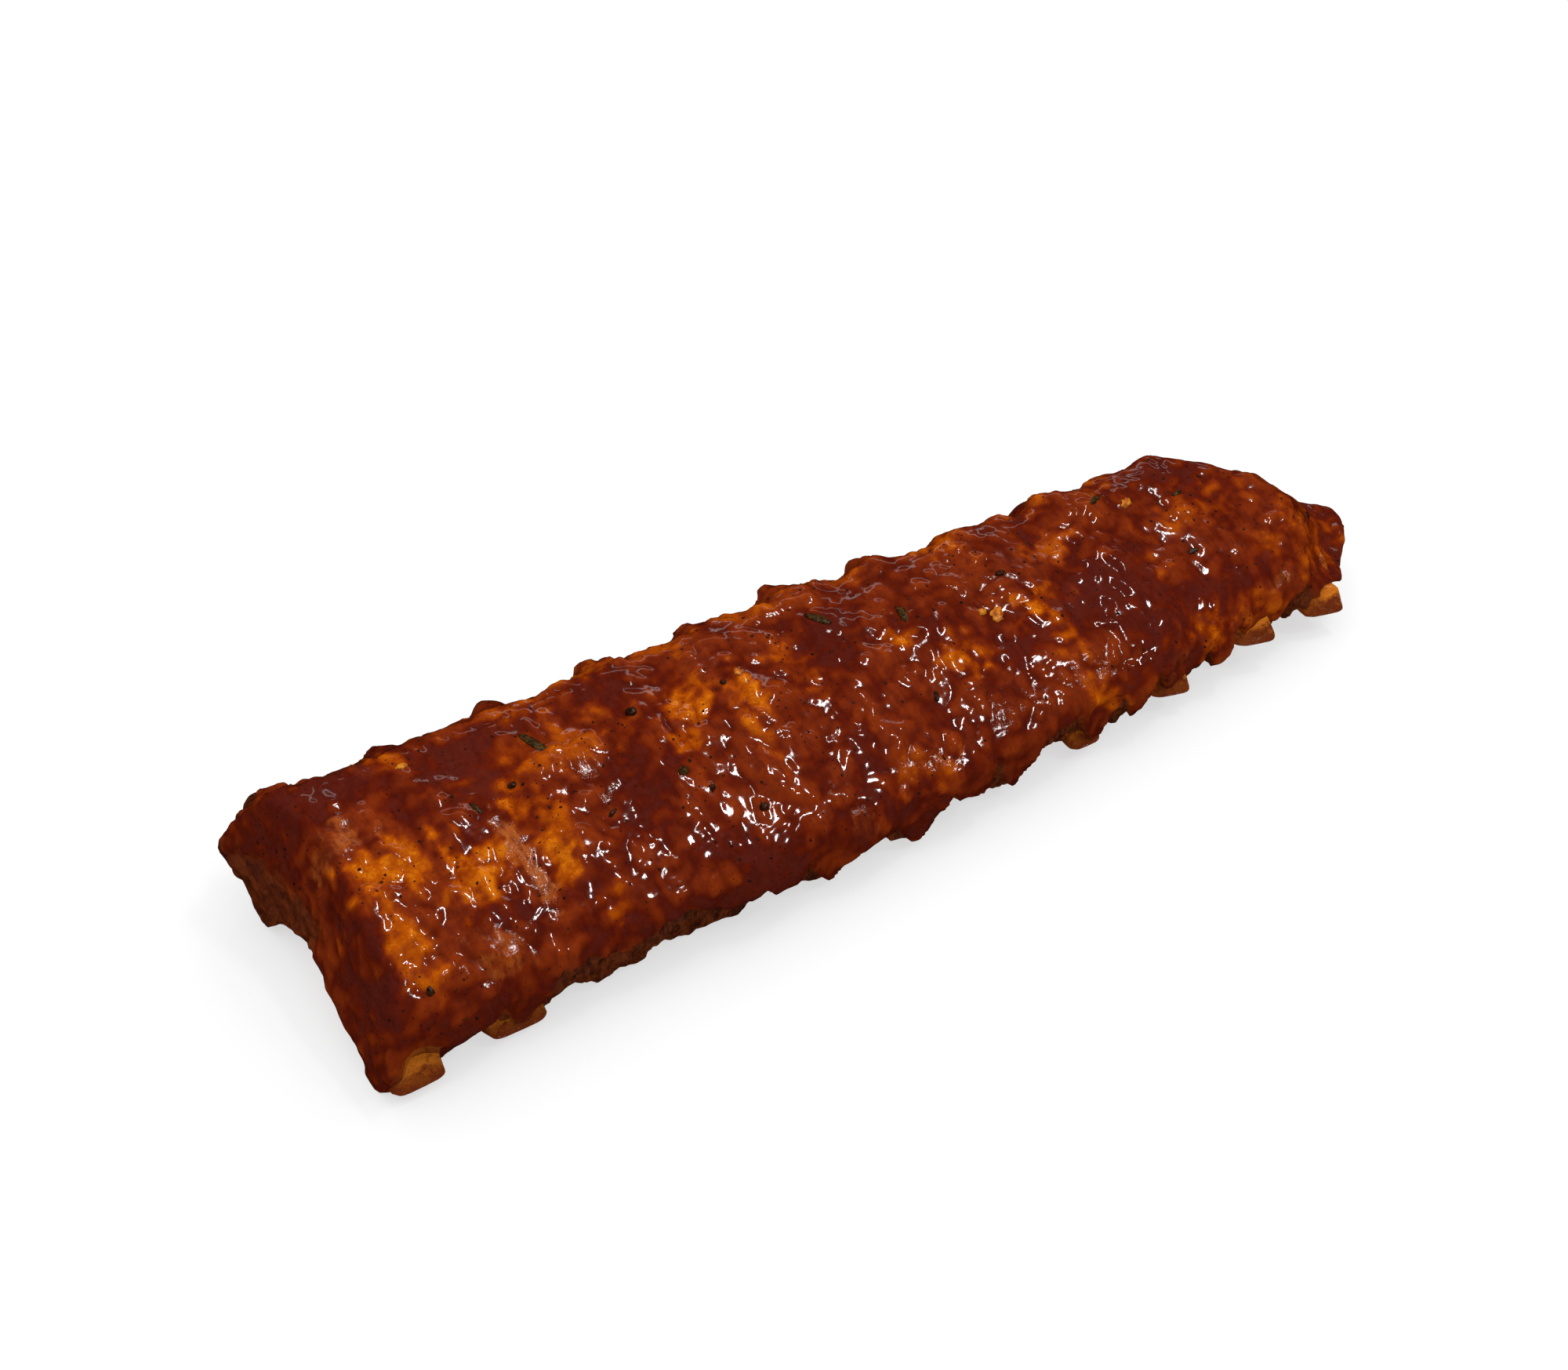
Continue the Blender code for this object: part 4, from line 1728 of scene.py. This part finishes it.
RIB_ENDS = (
    RibEnd(-3.0, 8.0, 4.2, 1.5, 0.80, lift=2.4, lean=0.5),
    RibEnd(-1.0, 8.8, 4.0, 2.5, 0.70, lift=2.0),
    RibEnd(3.0),
    RibEnd(3.0),
    RibEnd(2.0),
    RibEnd(1.0),
    RibEnd(0.0),
    RibEnd(-5.0, 5.8, 4.6, 0.5, 0.0, lift=4.0, lean=-1.0),
    RibEnd(-5.0, 6.8, 5.0, 1.0, 0.1, lift=5.5, lean=-1.0, skew=0.30),
    RibEnd(-5.0, 7.4, 5.2, 0.5, 0.1, lift=7.0, lean=-0.5, side_bare=0.8, skew=0.32),
    RibEnd(-5.5, 7.8, 4.6, 0.5, 0.1, lift=2.2, lean=-5.5, side_bare=0.95, skew=0.28),
    RibEnd(21.0, 3.0, 1.5),
)


@dataclass(frozen=True)
class RibFinish:
    """Cooked bone and its membrane, partly under sauce, with painted light on the glaze towards each
    rib's top and painted shade towards its underside.
    """

    bone: Colour = (0.520, 0.250, 0.088, 1.0)
    bone_dark: Colour = (0.240, 0.090, 0.0260, 1.0)
    glazed: Colour = (0.330, 0.075, 0.0045, 1.0)
    # Random dark tone in the glaze, and also the painted shade laid towards the rib's underside.
    dark_glaze_and_shade: Colour = (0.130, 0.021, 0.0040, 1.0)
    # Painted light: the glaze colour laid on towards the rib's top, standing for light falling from
    # above.
    painted_top_light: Colour = (0.600, 0.165, 0.0080, 1.0)
    core: Colour = (0.240, 0.065, 0.0120, 1.0)
    pit: Colour = (0.035, 0.010, 0.0050, 1.0)
    # Where each colour begins and is full.
    bone_range: Range = (-0.30, 0.25)
    glaze_range: Range = (-0.18, 0.18)
    painted_top_light_range: Range = (0.30, 1.20)
    clean_range: Range = (0.35, 0.75)
    core_range: Range = (-0.02, 0.14)
    core_share: float = 0.35
    # How strongly painted shade darkens the glaze towards the rib's underside.
    painted_shade_share: float = 0.8
    pit_scale: float = 1300.0
    pit_size: Range = (0.15, 0.45)
    roughness_glazed: float = 0.13
    roughness_clean: float = 0.12
    bump_depth: float = 0.0006
    bump_strength: float = 0.6

    def make(self) -> bpy.types.Material:
        """Return the material.

        Returns:
            The ribs' material.
        """
        shader = Shader("cooked_rib")
        sawn = shader.attribute("sawn")
        cloud = shader.noise(150.0, 3.0, 0.6) - 0.5
        mottle = shader.noise(600.0, 3.0, 0.5) - 0.5
        streak = shader.noise(1.0, 3.0, 0.3, shader.stretched((700.0, 90.0, 400.0))) - 0.5
        pits = shader.cells(self.pit_scale).between(*self.pit_size)
        light = (cloud + 0.8 * streak).between(*self.bone_range)
        bone = shader.mix(light, self.bone_dark, self.bone)
        thin = (cloud + 0.9 * mottle).between(*self.glaze_range)
        glaze = shader.mix(thin, self.dark_glaze_and_shade, self.glazed)
        # Painted light: the glaze brightens towards the rib's top, broken up by the mottle and the
        # clouds.
        painted_top_light = (shader.attribute("top") + 1.2 * mottle + cloud).between(*self.painted_top_light_range)
        glaze = shader.mix(painted_top_light, glaze, self.painted_top_light)
        clean = (shader.attribute("bare") + 0.8 * cloud + 0.3 * mottle).between(*self.clean_range)
        colour = shader.mix(clean, glaze, bone)
        porous = (cloud + 0.4 * mottle).between(*self.core_range)
        core = shader.mix(porous, glaze, shader.mix(pits, self.pit, self.core))
        colour = shader.mix(sawn * (1.0 - clean) * self.core_share, colour, core)
        # Painted shade: the glaze darkens towards the rib's underside.
        colour = shader.mix(shader.attribute("low") * self.painted_shade_share, colour, self.dark_glaze_and_shade)
        shader.set(
            Base_Color=colour,
            Roughness=self.roughness_glazed + self.roughness_clean * clean,
            Specular_IOR_Level=0.40,
        )
        relief = mottle + 0.6 * streak * clean + 0.6 * pits * sawn
        shader.bump(relief, self.bump_depth, self.bump_strength)
        return shader.material


@dataclass(frozen=True)
class RibSkin:
    """A rib's skin, with a row for each vertex.

    `points` holds its place and `inside` its distance from the sawn end, in metres.  `rise`
    and `to_thin` say how far up and how far towards the thin end it lies in the rib, from -1
    to 1, `uneven` is the seeded unevenness there, and `sawn` is 1 on the cut face.
    """

    points: Array
    inside: Array
    rise: Array
    to_thin: Array
    uneven: Array
    sawn: Array


@dataclass
class RibBone:
    """One curved, flattened rib, from its sawn front end to the loin."""

    form: SlabForm
    index: int
    end: RibEnd
    sides: int = 24
    spans: int = 44
    cap_insets: tuple[float, ...] = (0.10, 0.20, 0.25)
    half_width: float = 0.0070
    first_narrower: float = 0.0032
    half_thickness: float = 0.0049
    squareness: float = 0.42
    rim: float = 0.0007
    # Where the inner ends stop: so far short of the loin edge, or at a depth of their own.
    back_inset: float = 0.021
    next_to_last_back: float = 0.043
    last_back: float = 0.030
    # How far from the sawn end each feature reaches.
    lift_over: Ramp = Ramp(0.0, 0.020)
    flare_over: Ramp = Ramp(0.0, 0.022)
    saw_over: Ramp = Ramp(0.0, 0.012)
    skew_over: Ramp = Ramp(0.0, 0.015)
    glaze_over: Ramp = Ramp(0.0, 0.003)
    hidden_over: Ramp = Ramp(0.010, 0.010)
    saw_slope: float = 0.70
    saw_uneven: float = 0.0007
    sawn_radius: float = 0.92
    near_steepness: float = 4.0
    # The seeded unevenness, which the rib's bulk follows.
    uneven: tuple[Layer, ...] = (Layer(31, 9.0, 0.55), Layer(32, 3.5, 0.30))
    uneven_radius: float = 7.0
    uneven_growth: float = 0.24
    uneven_least: float = 0.3
    bone: bpy.types.Object = field(init=False)

    def rod(self) -> bmesh.types.BMesh:
        """Return a closed unit rod along Z.

        Returns:
            The rod, with its wall and its caps divided.
        """
        rod = bmesh.new()
        bmesh.ops.create_cone(
            rod, cap_ends=True, cap_tris=False, segments=self.sides,
            radius1=1.0, radius2=1.0, depth=1.0,
        )
        bmesh.ops.translate(rod, verts=rod.verts, vec=(0.0, 0.0, 0.5))
        caps = [face for face in rod.faces if len(face.verts) > 4]
        for width in self.cap_insets:
            bmesh.ops.inset_individual(rod, faces=caps, thickness=width)
        bmesh.ops.poke(rod, faces=caps)
        walls = [
            edge for edge in rod.edges if abs(edge.verts[0].co.z - edge.verts[1].co.z) > 0.5
        ]
        bmesh.ops.subdivide_edges(rod, edges=walls, cuts=self.spans - 1, use_grid_fill=True)
        return rod

    def depths(self) -> Range:
        """Return the depths of the rib's front and back ends.

        Returns:
            The two depths, in metres.
        """
        last = self.form.rib_count - 1
        if self.index == last:
            return self.end.tip * MM, self.last_back
        if self.index == last - 1:
            return self.end.tip * MM, self.next_to_last_back
        back = self.form.back_line(self.form.rib_front(self.index)) - self.back_inset
        return self.end.tip * MM, back

    def middle_at(self, y: Array) -> Array:
        """Return the rib's middle, with its end lifted and turned.

        Args:
            y: the depths at which to find it, an array of `count` values.

        Returns:
            An array of shape (count, 3).
        """
        outer = self.lift_over.fall(y - self.end.tip * MM)[:, None]
        move = np.array([self.end.lean, 0.0, self.end.lift]) * MM
        return self.form.rib_centre(self.index, y) + outer * move

    def directions(self, y: Array) -> tuple[Array, Array, Array]:
        """Return the rib's own directions at depths `y`.

        Args:
            y: the depths.

        Returns:
            Unit vectors ahead along the rib, across it and up out of it.
        """
        ahead = self.middle_at(y + MM) - self.middle_at(y)
        ahead /= np.linalg.norm(ahead, axis=1, keepdims=True)
        across = np.cross(ahead, [0.0, 0.0, 1.0])
        across /= np.linalg.norm(across, axis=1, keepdims=True)
        return ahead, across, np.cross(across, ahead)

    def squared(self, value: Array) -> Array:
        """Return a circle's coordinate drawn out towards that of a square."""
        return np.sign(value) * np.abs(value) ** self.squareness

    def shape(self, unit: Array) -> RibSkin:
        """Return the rod's vertices laid on the rib.

        Args:
            unit: the vertices of the unit rod.

        Returns:
            The rib's skin.
        """
        tip, back = self.depths()
        y = tip + (back - tip) * unit[:, 2]
        inside = y - tip
        centre = self.middle_at(y)
        ahead, across, upward = self.directions(y)
        ring = np.hypot(unit[:, 0], unit[:, 1])
        turn = np.arctan2(unit[:, 1], unit[:, 0])
        side = ring * self.squared(np.cos(turn))
        rise = ring * self.squared(np.sin(turn))
        to_thin = side * np.sign(across[:, 0])
        flare = self.flare_over.fall(inside)
        inner = self.half_width - (self.first_narrower if self.index == 0 else 0.0)
        width = inner + (self.end.wide * MM - inner) * flare
        width += self.end.near * MM * flare * smooth(-self.near_steepness * to_thin)
        thick = self.half_thickness + (self.end.thick * MM - self.half_thickness) * flare
        to_end = np.minimum(inside, back - y)
        cut = self.rim * Ramp(0.0, 1.5 * self.rim).fall(to_end)
        outward = across * side[:, None] + upward * rise[:, None]
        uneven = piled(self.uneven, centre / MM + outward * self.uneven_radius)
        loose = self.uneven_least + (1.0 - self.uneven_least) * flare
        grow = 1.0 + self.uneven_growth * uneven * loose
        slant = self.saw_slope * thick * rise + self.saw_uneven * uneven
        slant *= self.saw_over.fall(inside)
        slant -= self.end.skew * width * to_thin * self.skew_over.fall(inside)
        points = centre + across * ((width - cut) * side * grow)[:, None]
        points += upward * ((thick - cut) * rise * grow)[:, None]
        points += ahead * slant[:, None] + np.array(self.form.origin())
        points[:, 2] = np.maximum(points[:, 2], 0.0)
        sawn = (ring < self.sawn_radius) & (to_end < TINY)
        return RibSkin(points, inside, rise, to_thin, uneven, sawn.astype(float))

    def build(self) -> None:
        """Shape the rod into the rib."""
        rod = self.rod()
        mesh = bpy.data.meshes.new("cooked_rib")
        rod.to_mesh(mesh)
        rod.free()
        skin = self.shape(read_rows(mesh.vertices, "co", 3, float))
        mesh.vertices.foreach_set("co", skin.points.ravel())
        self.store_covers(mesh, skin)
        mesh.shade_smooth()
        mesh.update()
        self.bone = bpy.data.objects.new(f"cooked_rib_{self.index + 1:02d}", mesh)
        bpy.context.scene.collection.objects.link(self.bone)

    def store_covers(self, mesh: bpy.types.Mesh, skin: RibSkin) -> None:
        """Store where the rib is bare, sawn, low and on top, for its finish, which paints shade low
        down and light on top.

        Args:
            mesh: the rib's mesh, which gets the attributes bare, sawn, low and top.
            skin: the rib's skin.
        """
        flare = self.flare_over.fall(skin.inside)
        showing = self.glaze_over.rise(skin.inside) * (0.55 + 0.45 * smooth(skin.rise))
        hidden = self.hidden_over.rise(skin.inside)
        near_side = smooth(-2.0 * skin.to_thin) * smooth(1.0 - skin.rise)
        bare = np.maximum(self.end.bare, self.end.side_bare * near_side)
        bare = bare * np.maximum(showing, 0.3) * (1.0 - hidden) + 0.75 * hidden
        # Rises towards the rib's underside, where the finish paints shade; it also thins the bare
        # bone's colour there.
        low = smooth(0.25 - 0.8 * skin.rise + 0.35 * skin.uneven) * flare
        store(mesh, "bare", bare * (1.0 - 0.6 * low))
        store(mesh, "low", low)
        # Rises towards the top of the rib's end, where its finish paints light.
        store(mesh, "top", smooth(0.55 + 1.1 * skin.rise + 0.5 * skin.uneven) * flare)
        store(mesh, "sawn", skin.sawn)

    def dress(self, finish: bpy.types.Material) -> None:
        """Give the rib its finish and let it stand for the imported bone.

        Args:
            finish: the ribs' material.
        """
        self.bone.data.materials.append(finish)
        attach(self.bone, "root")
        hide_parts(f"rib_bone_{self.index + 1:02d}")


# ---------------------------------------------------------------- what lies on the glaze


@dataclass(frozen=True)
class Crumb:
    """One larger bit on the glaze, in millimetres along X and along the section.

    `size` holds its half length, half width and half height.
    """

    x: float
    reach: float
    size: tuple[float, float, float]
    turn: float = 0.0


PEPPERCORNS = (
    Crumb(119.4, 102.7, (1.9, 1.8, 1.3)),
    Crumb(126.5, 66.8, (1.3, 1.1, 0.8), 30.0),
    Crumb(65.7, 95.6, (1.5, 1.2, 1.0), 60.0),
    Crumb(138.0, 54.7, (1.5, 1.4, 1.2)),
    Crumb(91.5, 73.0, (2.0, 0.7, 0.5), 10.0),
    Crumb(11.0, 45.6, (1.6, 1.3, 0.7), 50.0),
    Crumb(153.0, 99.8, (1.1, 1.0, 0.8)),
    Crumb(212.0, 64.0, (2.0, 0.9, 0.6), 70.0),
    Crumb(260.7, 92.0, (1.7, 1.2, 0.8), 20.0),
    Crumb(328.0, 66.0, (2.6, 1.0, 0.7), 15.0),
    Crumb(386.0, 58.0, (2.4, 0.9, 0.6), -20.0),
)
HERBS = (
    Crumb(81.5, 106.5, (5.4, 1.7, 0.7), 80.0),
    Crumb(121.0, 75.0, (1.8, 1.6, 1.2)),
    Crumb(195.0, 107.0, (4.6, 1.5, 0.4), -40.0),
    Crumb(221.0, 95.0, (3.6, 1.6, 0.4), -55.0),
    Crumb(318.0, 100.0, (3.4, 1.1, 0.4), -25.0),
    Crumb(345.0, 88.0, (2.4, 0.9, 0.5), 10.0),
    Crumb(50.0, 93.0, (2.6, 1.0, 0.4), 75.0),
)
FAT_NUGGETS = (
    Crumb(249.8, 80.6, (3.8, 2.7, 1.5), 60.0),
    Crumb(246.0, 83.5, (1.8, 1.5, 1.2), 10.0),
    Crumb(327.3, 94.3, (2.4, 1.7, 1.4), 30.0),
    Crumb(37.0, 118.0, (2.0, 1.3, 1.2), 40.0),
    Crumb(159.0, 100.5, (1.5, 1.8, 1.0)),
)


class Garnish(Enum):
    """The kinds of small things on the glaze."""

    PEPPER = "ground_pepper"
    PEPPERCORN = "cracked_peppercorns"
    HERB = "herb_flakes"
    FAT = "fat_nuggets"


@dataclass(frozen=True)
class CrumbFinish:
    """A small thing's colour, mottled between `dark` and `light`."""

    dark: Colour
    light: Colour
    scale: float = 700.0
    roughness: float = 0.25

    def make(self, name: str) -> bpy.types.Material:
        """Return the material.

        Args:
            name: what it is called.

        Returns:
            The material.
        """
        shader = Shader(name)
        cloud = shader.noise(self.scale, 3.0, 0.5)
        shader.set(
            Base_Color=shader.mix(cloud.between(0.35, 0.65), self.dark, self.light),
            Roughness=self.roughness,
            Specular_IOR_Level=0.32,
        )
        shader.bump(shader.noise(2.0 * self.scale, 2.0), 0.0003, 0.6)
        return shader.material


GARNISH_FINISHES = {
    Garnish.PEPPER: CrumbFinish((0.012, 0.003, 0.001, 1.0), (0.050, 0.010, 0.003, 1.0)),
    Garnish.PEPPERCORN: CrumbFinish(
        (0.010, 0.003, 0.001, 1.0), (0.042, 0.011, 0.004, 1.0), 900.0, 0.18
    ),
    Garnish.HERB: CrumbFinish(
        (0.014, 0.006, 0.001, 1.0), (0.062, 0.029, 0.005, 1.0), 900.0, 0.22
    ),
    Garnish.FAT: CrumbFinish((0.300, 0.055, 0.003, 1.0), (0.560, 0.200, 0.010, 1.0), 350.0),
}


@dataclass
class GarnishHeap:
    """All the small things of one kind, joined into one piece."""

    kind: Garnish
    surface: Surface
    rough: float = 0.16
    sink: float = 0.0
    crumb_detail: int = 3
    grain_detail: int = 1
    grain_height: float = 0.55
    lowest_reach: float = 30.0
    clump_span: float = 22.0
    clump_level: float = 0.35
    clump_range: Range = (0.05, 1.0)
    body: bmesh.types.BMesh = field(init=False)
    piece: bpy.types.Object = field(init=False)

    def __post_init__(self) -> None:
        """Start the joined mesh."""
        self.body = bmesh.new()

    def add(
        self, vertex: int, size: Vector, turn: float, detail: int, draws: np.random.Generator
    ) -> None:
        """Lay one lump on the surface.

        Args:
            vertex: the surface vertex that it lies on.
            size: its half sizes, in metres.
            turn: its angle about the normal, in degrees.
            detail: how finely its ball is divided.
            draws: the random numbers that make it uneven.
        """
        stand = self.surface.frame_at(vertex, turn, self.sink * size.z)
        ball = bmesh.ops.create_icosphere(self.body, subdivisions=detail, radius=1.0)["verts"]
        for vert in ball:
            uneven = 1.0 + self.rough * draws.uniform(-1.0, 1.0)
            vert.co = stand @ (vert.co * uneven * size)

    def add_crumbs(self, crumbs: tuple[Crumb, ...], seed: int) -> None:
        """Lay the larger bits.

        Args:
            crumbs: the bits.
            seed: the seed of their unevenness.
        """
        draws = np.random.default_rng(seed)
        for crumb in crumbs:
            vertex = self.surface.nearest(crumb.x, crumb.reach)
            self.add(vertex, Vector(crumb.size) * MM, crumb.turn, self.crumb_detail, draws)

    def scatter(self, count: int, sizes: Range, seed: int) -> None:
        """Scatter grains over the upper side, in loose clumps.

        Args:
            count: the number of grains.
            sizes: the least and the greatest width, in millimetres.
            seed: the seed of their places, sizes and unevenness.
        """
        draws = np.random.default_rng(seed)
        least, most = sizes
        open_side = np.flatnonzero(self.surface.upper & (self.surface.reach > self.lowest_reach))
        clumps = GradientNoise(seed).at(self.surface.points[open_side] / MM / self.clump_span)
        weight = np.clip(self.clump_level + clumps, *self.clump_range)
        for vertex in draws.choice(open_side, count, replace=False, p=weight / weight.sum()):
            across = least + (most - least) * draws.random() ** 3
            shape = (across, across * draws.uniform(0.5, 1.0), across * self.grain_height)
            turn = 360.0 * draws.random()
            self.add(int(vertex), 0.5 * Vector(shape) * MM, turn, self.grain_detail, draws)

    def finish(self) -> None:
        """Make the joined piece and give it its finish."""
        mesh = bpy.data.meshes.new(self.kind.value)
        bmesh.ops.recalc_face_normals(self.body, faces=self.body.faces)
        self.body.to_mesh(mesh)
        self.body.free()
        mesh.shade_smooth()
        mesh.materials.append(GARNISH_FINISHES[self.kind].make(self.kind.value))
        self.piece = bpy.data.objects.new(self.kind.value, mesh)
        bpy.context.scene.collection.objects.link(self.piece)
        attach(self.piece, "root")


# ---------------------------------------------------------------- the studio


@dataclass(frozen=True)
class Lamp:
    """One area light, named by where it hangs round the rack."""

    name: str
    place: Place
    size: Range
    power: float
    fill: bool = True


@dataclass
class Studio:
    """A pale floor, soft light and the camera."""

    camera_place: Place = (-0.3512, -0.4655, 0.5490)
    camera_tilt: float = 48.0
    camera_turn: float = -35.068
    lens: float = 54.0
    sensor: float = 36.0
    floor_span: float = 12.0
    floor_colour: Colour = (0.30, 0.30, 0.30, 1.0)
    floor_glow: float = 0.62
    lamps: tuple[Lamp, ...] = (
        Lamp("panel_middle", (0.40, -0.12, 1.20), (0.20, 0.06), 2.0),
        Lamp("panel_front", (0.50, -0.58, 0.95), (0.12, 0.06), 1.2),
        Lamp("panel_above", (0.40, 0.12, 1.20), (0.10, 0.04), 0.55),
        Lamp("window_behind", (0.9, 1.1, 0.95), (1.2, 0.08), 0.55, fill=False),
    )
    sky_power: float = 2.4
    sky_spread: float = 110.0
    sky_turn: Place = (-14.0, 10.0, 0.0)
    surroundings_light: float = 0.52
    surroundings_colour: Colour = (0.95, 0.95, 0.95, 1.0)

    def build(self) -> None:
        """Set up the floor, the light and the camera."""
        self.build_floor()
        for lamp in self.lamps:
            self.hang(lamp)
        self.build_soft_light()
        self.build_sky()
        self.build_camera()
        bpy.context.scene.view_settings.view_transform = "Standard"

    def build_floor(self) -> None:
        """Lay the floor under the rack."""
        plane = bmesh.new()
        bmesh.ops.create_grid(plane, x_segments=1, y_segments=1, size=0.5 * self.floor_span)
        mesh = bpy.data.meshes.new("floor")
        plane.to_mesh(mesh)
        plane.free()
        floor = bpy.data.objects.new("floor", mesh)
        bpy.context.scene.collection.objects.link(floor)
        shader = Shader("pale_floor")
        shader.set(
            Base_Color=self.floor_colour,
            Roughness=0.9,
            Specular_IOR_Level=0.1,
            Emission_Color=(1.0, 1.0, 1.0, 1.0),
            Emission_Strength=self.floor_glow,
        )
        mesh.materials.append(shader.material)
        floor.visible_glossy = False

    @staticmethod
    def hang(lamp: Lamp) -> None:
        """Hang one light, aimed at the middle of the rack.

        Args:
            lamp: the light's name, place, size and power.
        """
        light = bpy.data.lights.new(lamp.name, "AREA")
        light.shape = "RECTANGLE"
        light.size, light.size_y = lamp.size
        light.energy = lamp.power
        holder = bpy.data.objects.new(lamp.name, light)
        holder.location = lamp.place
        holder.rotation_euler = (-Vector(lamp.place)).to_track_quat("-Z", "Y").to_euler()
        holder.visible_diffuse = lamp.fill
        bpy.context.scene.collection.objects.link(holder)

    def build_soft_light(self) -> None:
        """Add the even light from above, which leaves no mirror image in the glaze."""
        light = bpy.data.lights.new("soft_light", "SUN")
        light.energy = self.sky_power
        light.angle = math.radians(self.sky_spread)
        holder = bpy.data.objects.new("soft_light", light)
        holder.rotation_euler = [math.radians(angle) for angle in self.sky_turn]
        holder.visible_glossy = False
        bpy.context.scene.collection.objects.link(holder)

    def build_sky(self) -> None:
        """Give the surroundings: pale to look at, softly lit, and unseen in the glaze."""
        world = bpy.data.worlds.new("surroundings")
        world.use_nodes = True
        tree = world.node_tree
        dim = tree.nodes["Background"]
        dim.inputs["Color"].default_value = (1.0, 1.0, 1.0, 1.0)
        dim.inputs["Strength"].default_value = self.surroundings_light
        world.cycles_visibility.glossy = False
        pale = tree.nodes.new("ShaderNodeBackground")
        pale.inputs["Color"].default_value = self.surroundings_colour
        path = tree.nodes.new("ShaderNodeLightPath")
        mix = tree.nodes.new("ShaderNodeMixShader")
        tree.links.new(path.outputs["Is Camera Ray"], mix.inputs[0])
        tree.links.new(dim.outputs[0], mix.inputs[1])
        tree.links.new(pale.outputs[0], mix.inputs[2])
        tree.links.new(mix.outputs[0], tree.nodes["World Output"].inputs["Surface"])
        bpy.context.scene.world = world

    def build_camera(self) -> None:
        """Place the camera."""
        camera = bpy.data.cameras.new("camera")
        camera.lens = self.lens
        camera.sensor_width = self.sensor
        camera.clip_start = 0.01
        holder = bpy.data.objects.new("camera", camera)
        holder.location = self.camera_place
        holder.rotation_euler = (math.radians(self.camera_tilt), 0.0, math.radians(self.camera_turn))
        bpy.context.scene.collection.objects.link(holder)
        bpy.context.scene.camera = holder


# ---------------------------------------------------------------- the whole


def report(piece: bpy.types.Object) -> None:
    """Log one finished piece."""
    log.info("%s: %d faces", piece.name, len(piece.data.polygons))


def main() -> None:
    """Build and dress the rack, light it and set the camera."""
    logging.basicConfig(level=logging.INFO, format="%(message)s")
    form = SlabForm()
    slab = MeatSlab(form)
    slab.build()
    slab.dress(GlazedMeatFinish())
    report(slab.skin)
    rib_finish = RibFinish().make()
    for index, end in enumerate(RIB_ENDS):
        rib = RibBone(form, index, end)
        rib.build()
        rib.dress(rib_finish)
        report(rib.bone)
    pepper = GarnishHeap(Garnish.PEPPER, slab.surface)
    pepper.scatter(1500, (0.4, 1.5), 41)
    corns = GarnishHeap(Garnish.PEPPERCORN, slab.surface)
    corns.add_crumbs(PEPPERCORNS, 42)
    herbs = GarnishHeap(Garnish.HERB, slab.surface)
    herbs.add_crumbs(HERBS, 43)
    nuggets = GarnishHeap(Garnish.FAT, slab.surface, rough=0.22, sink=-0.35)
    nuggets.add_crumbs(FAT_NUGGETS, 44)
    for heap in (pepper, corns, herbs, nuggets):
        heap.finish()
        report(heap.piece)
    Studio().build()


if __name__ == "__main__":
    main()
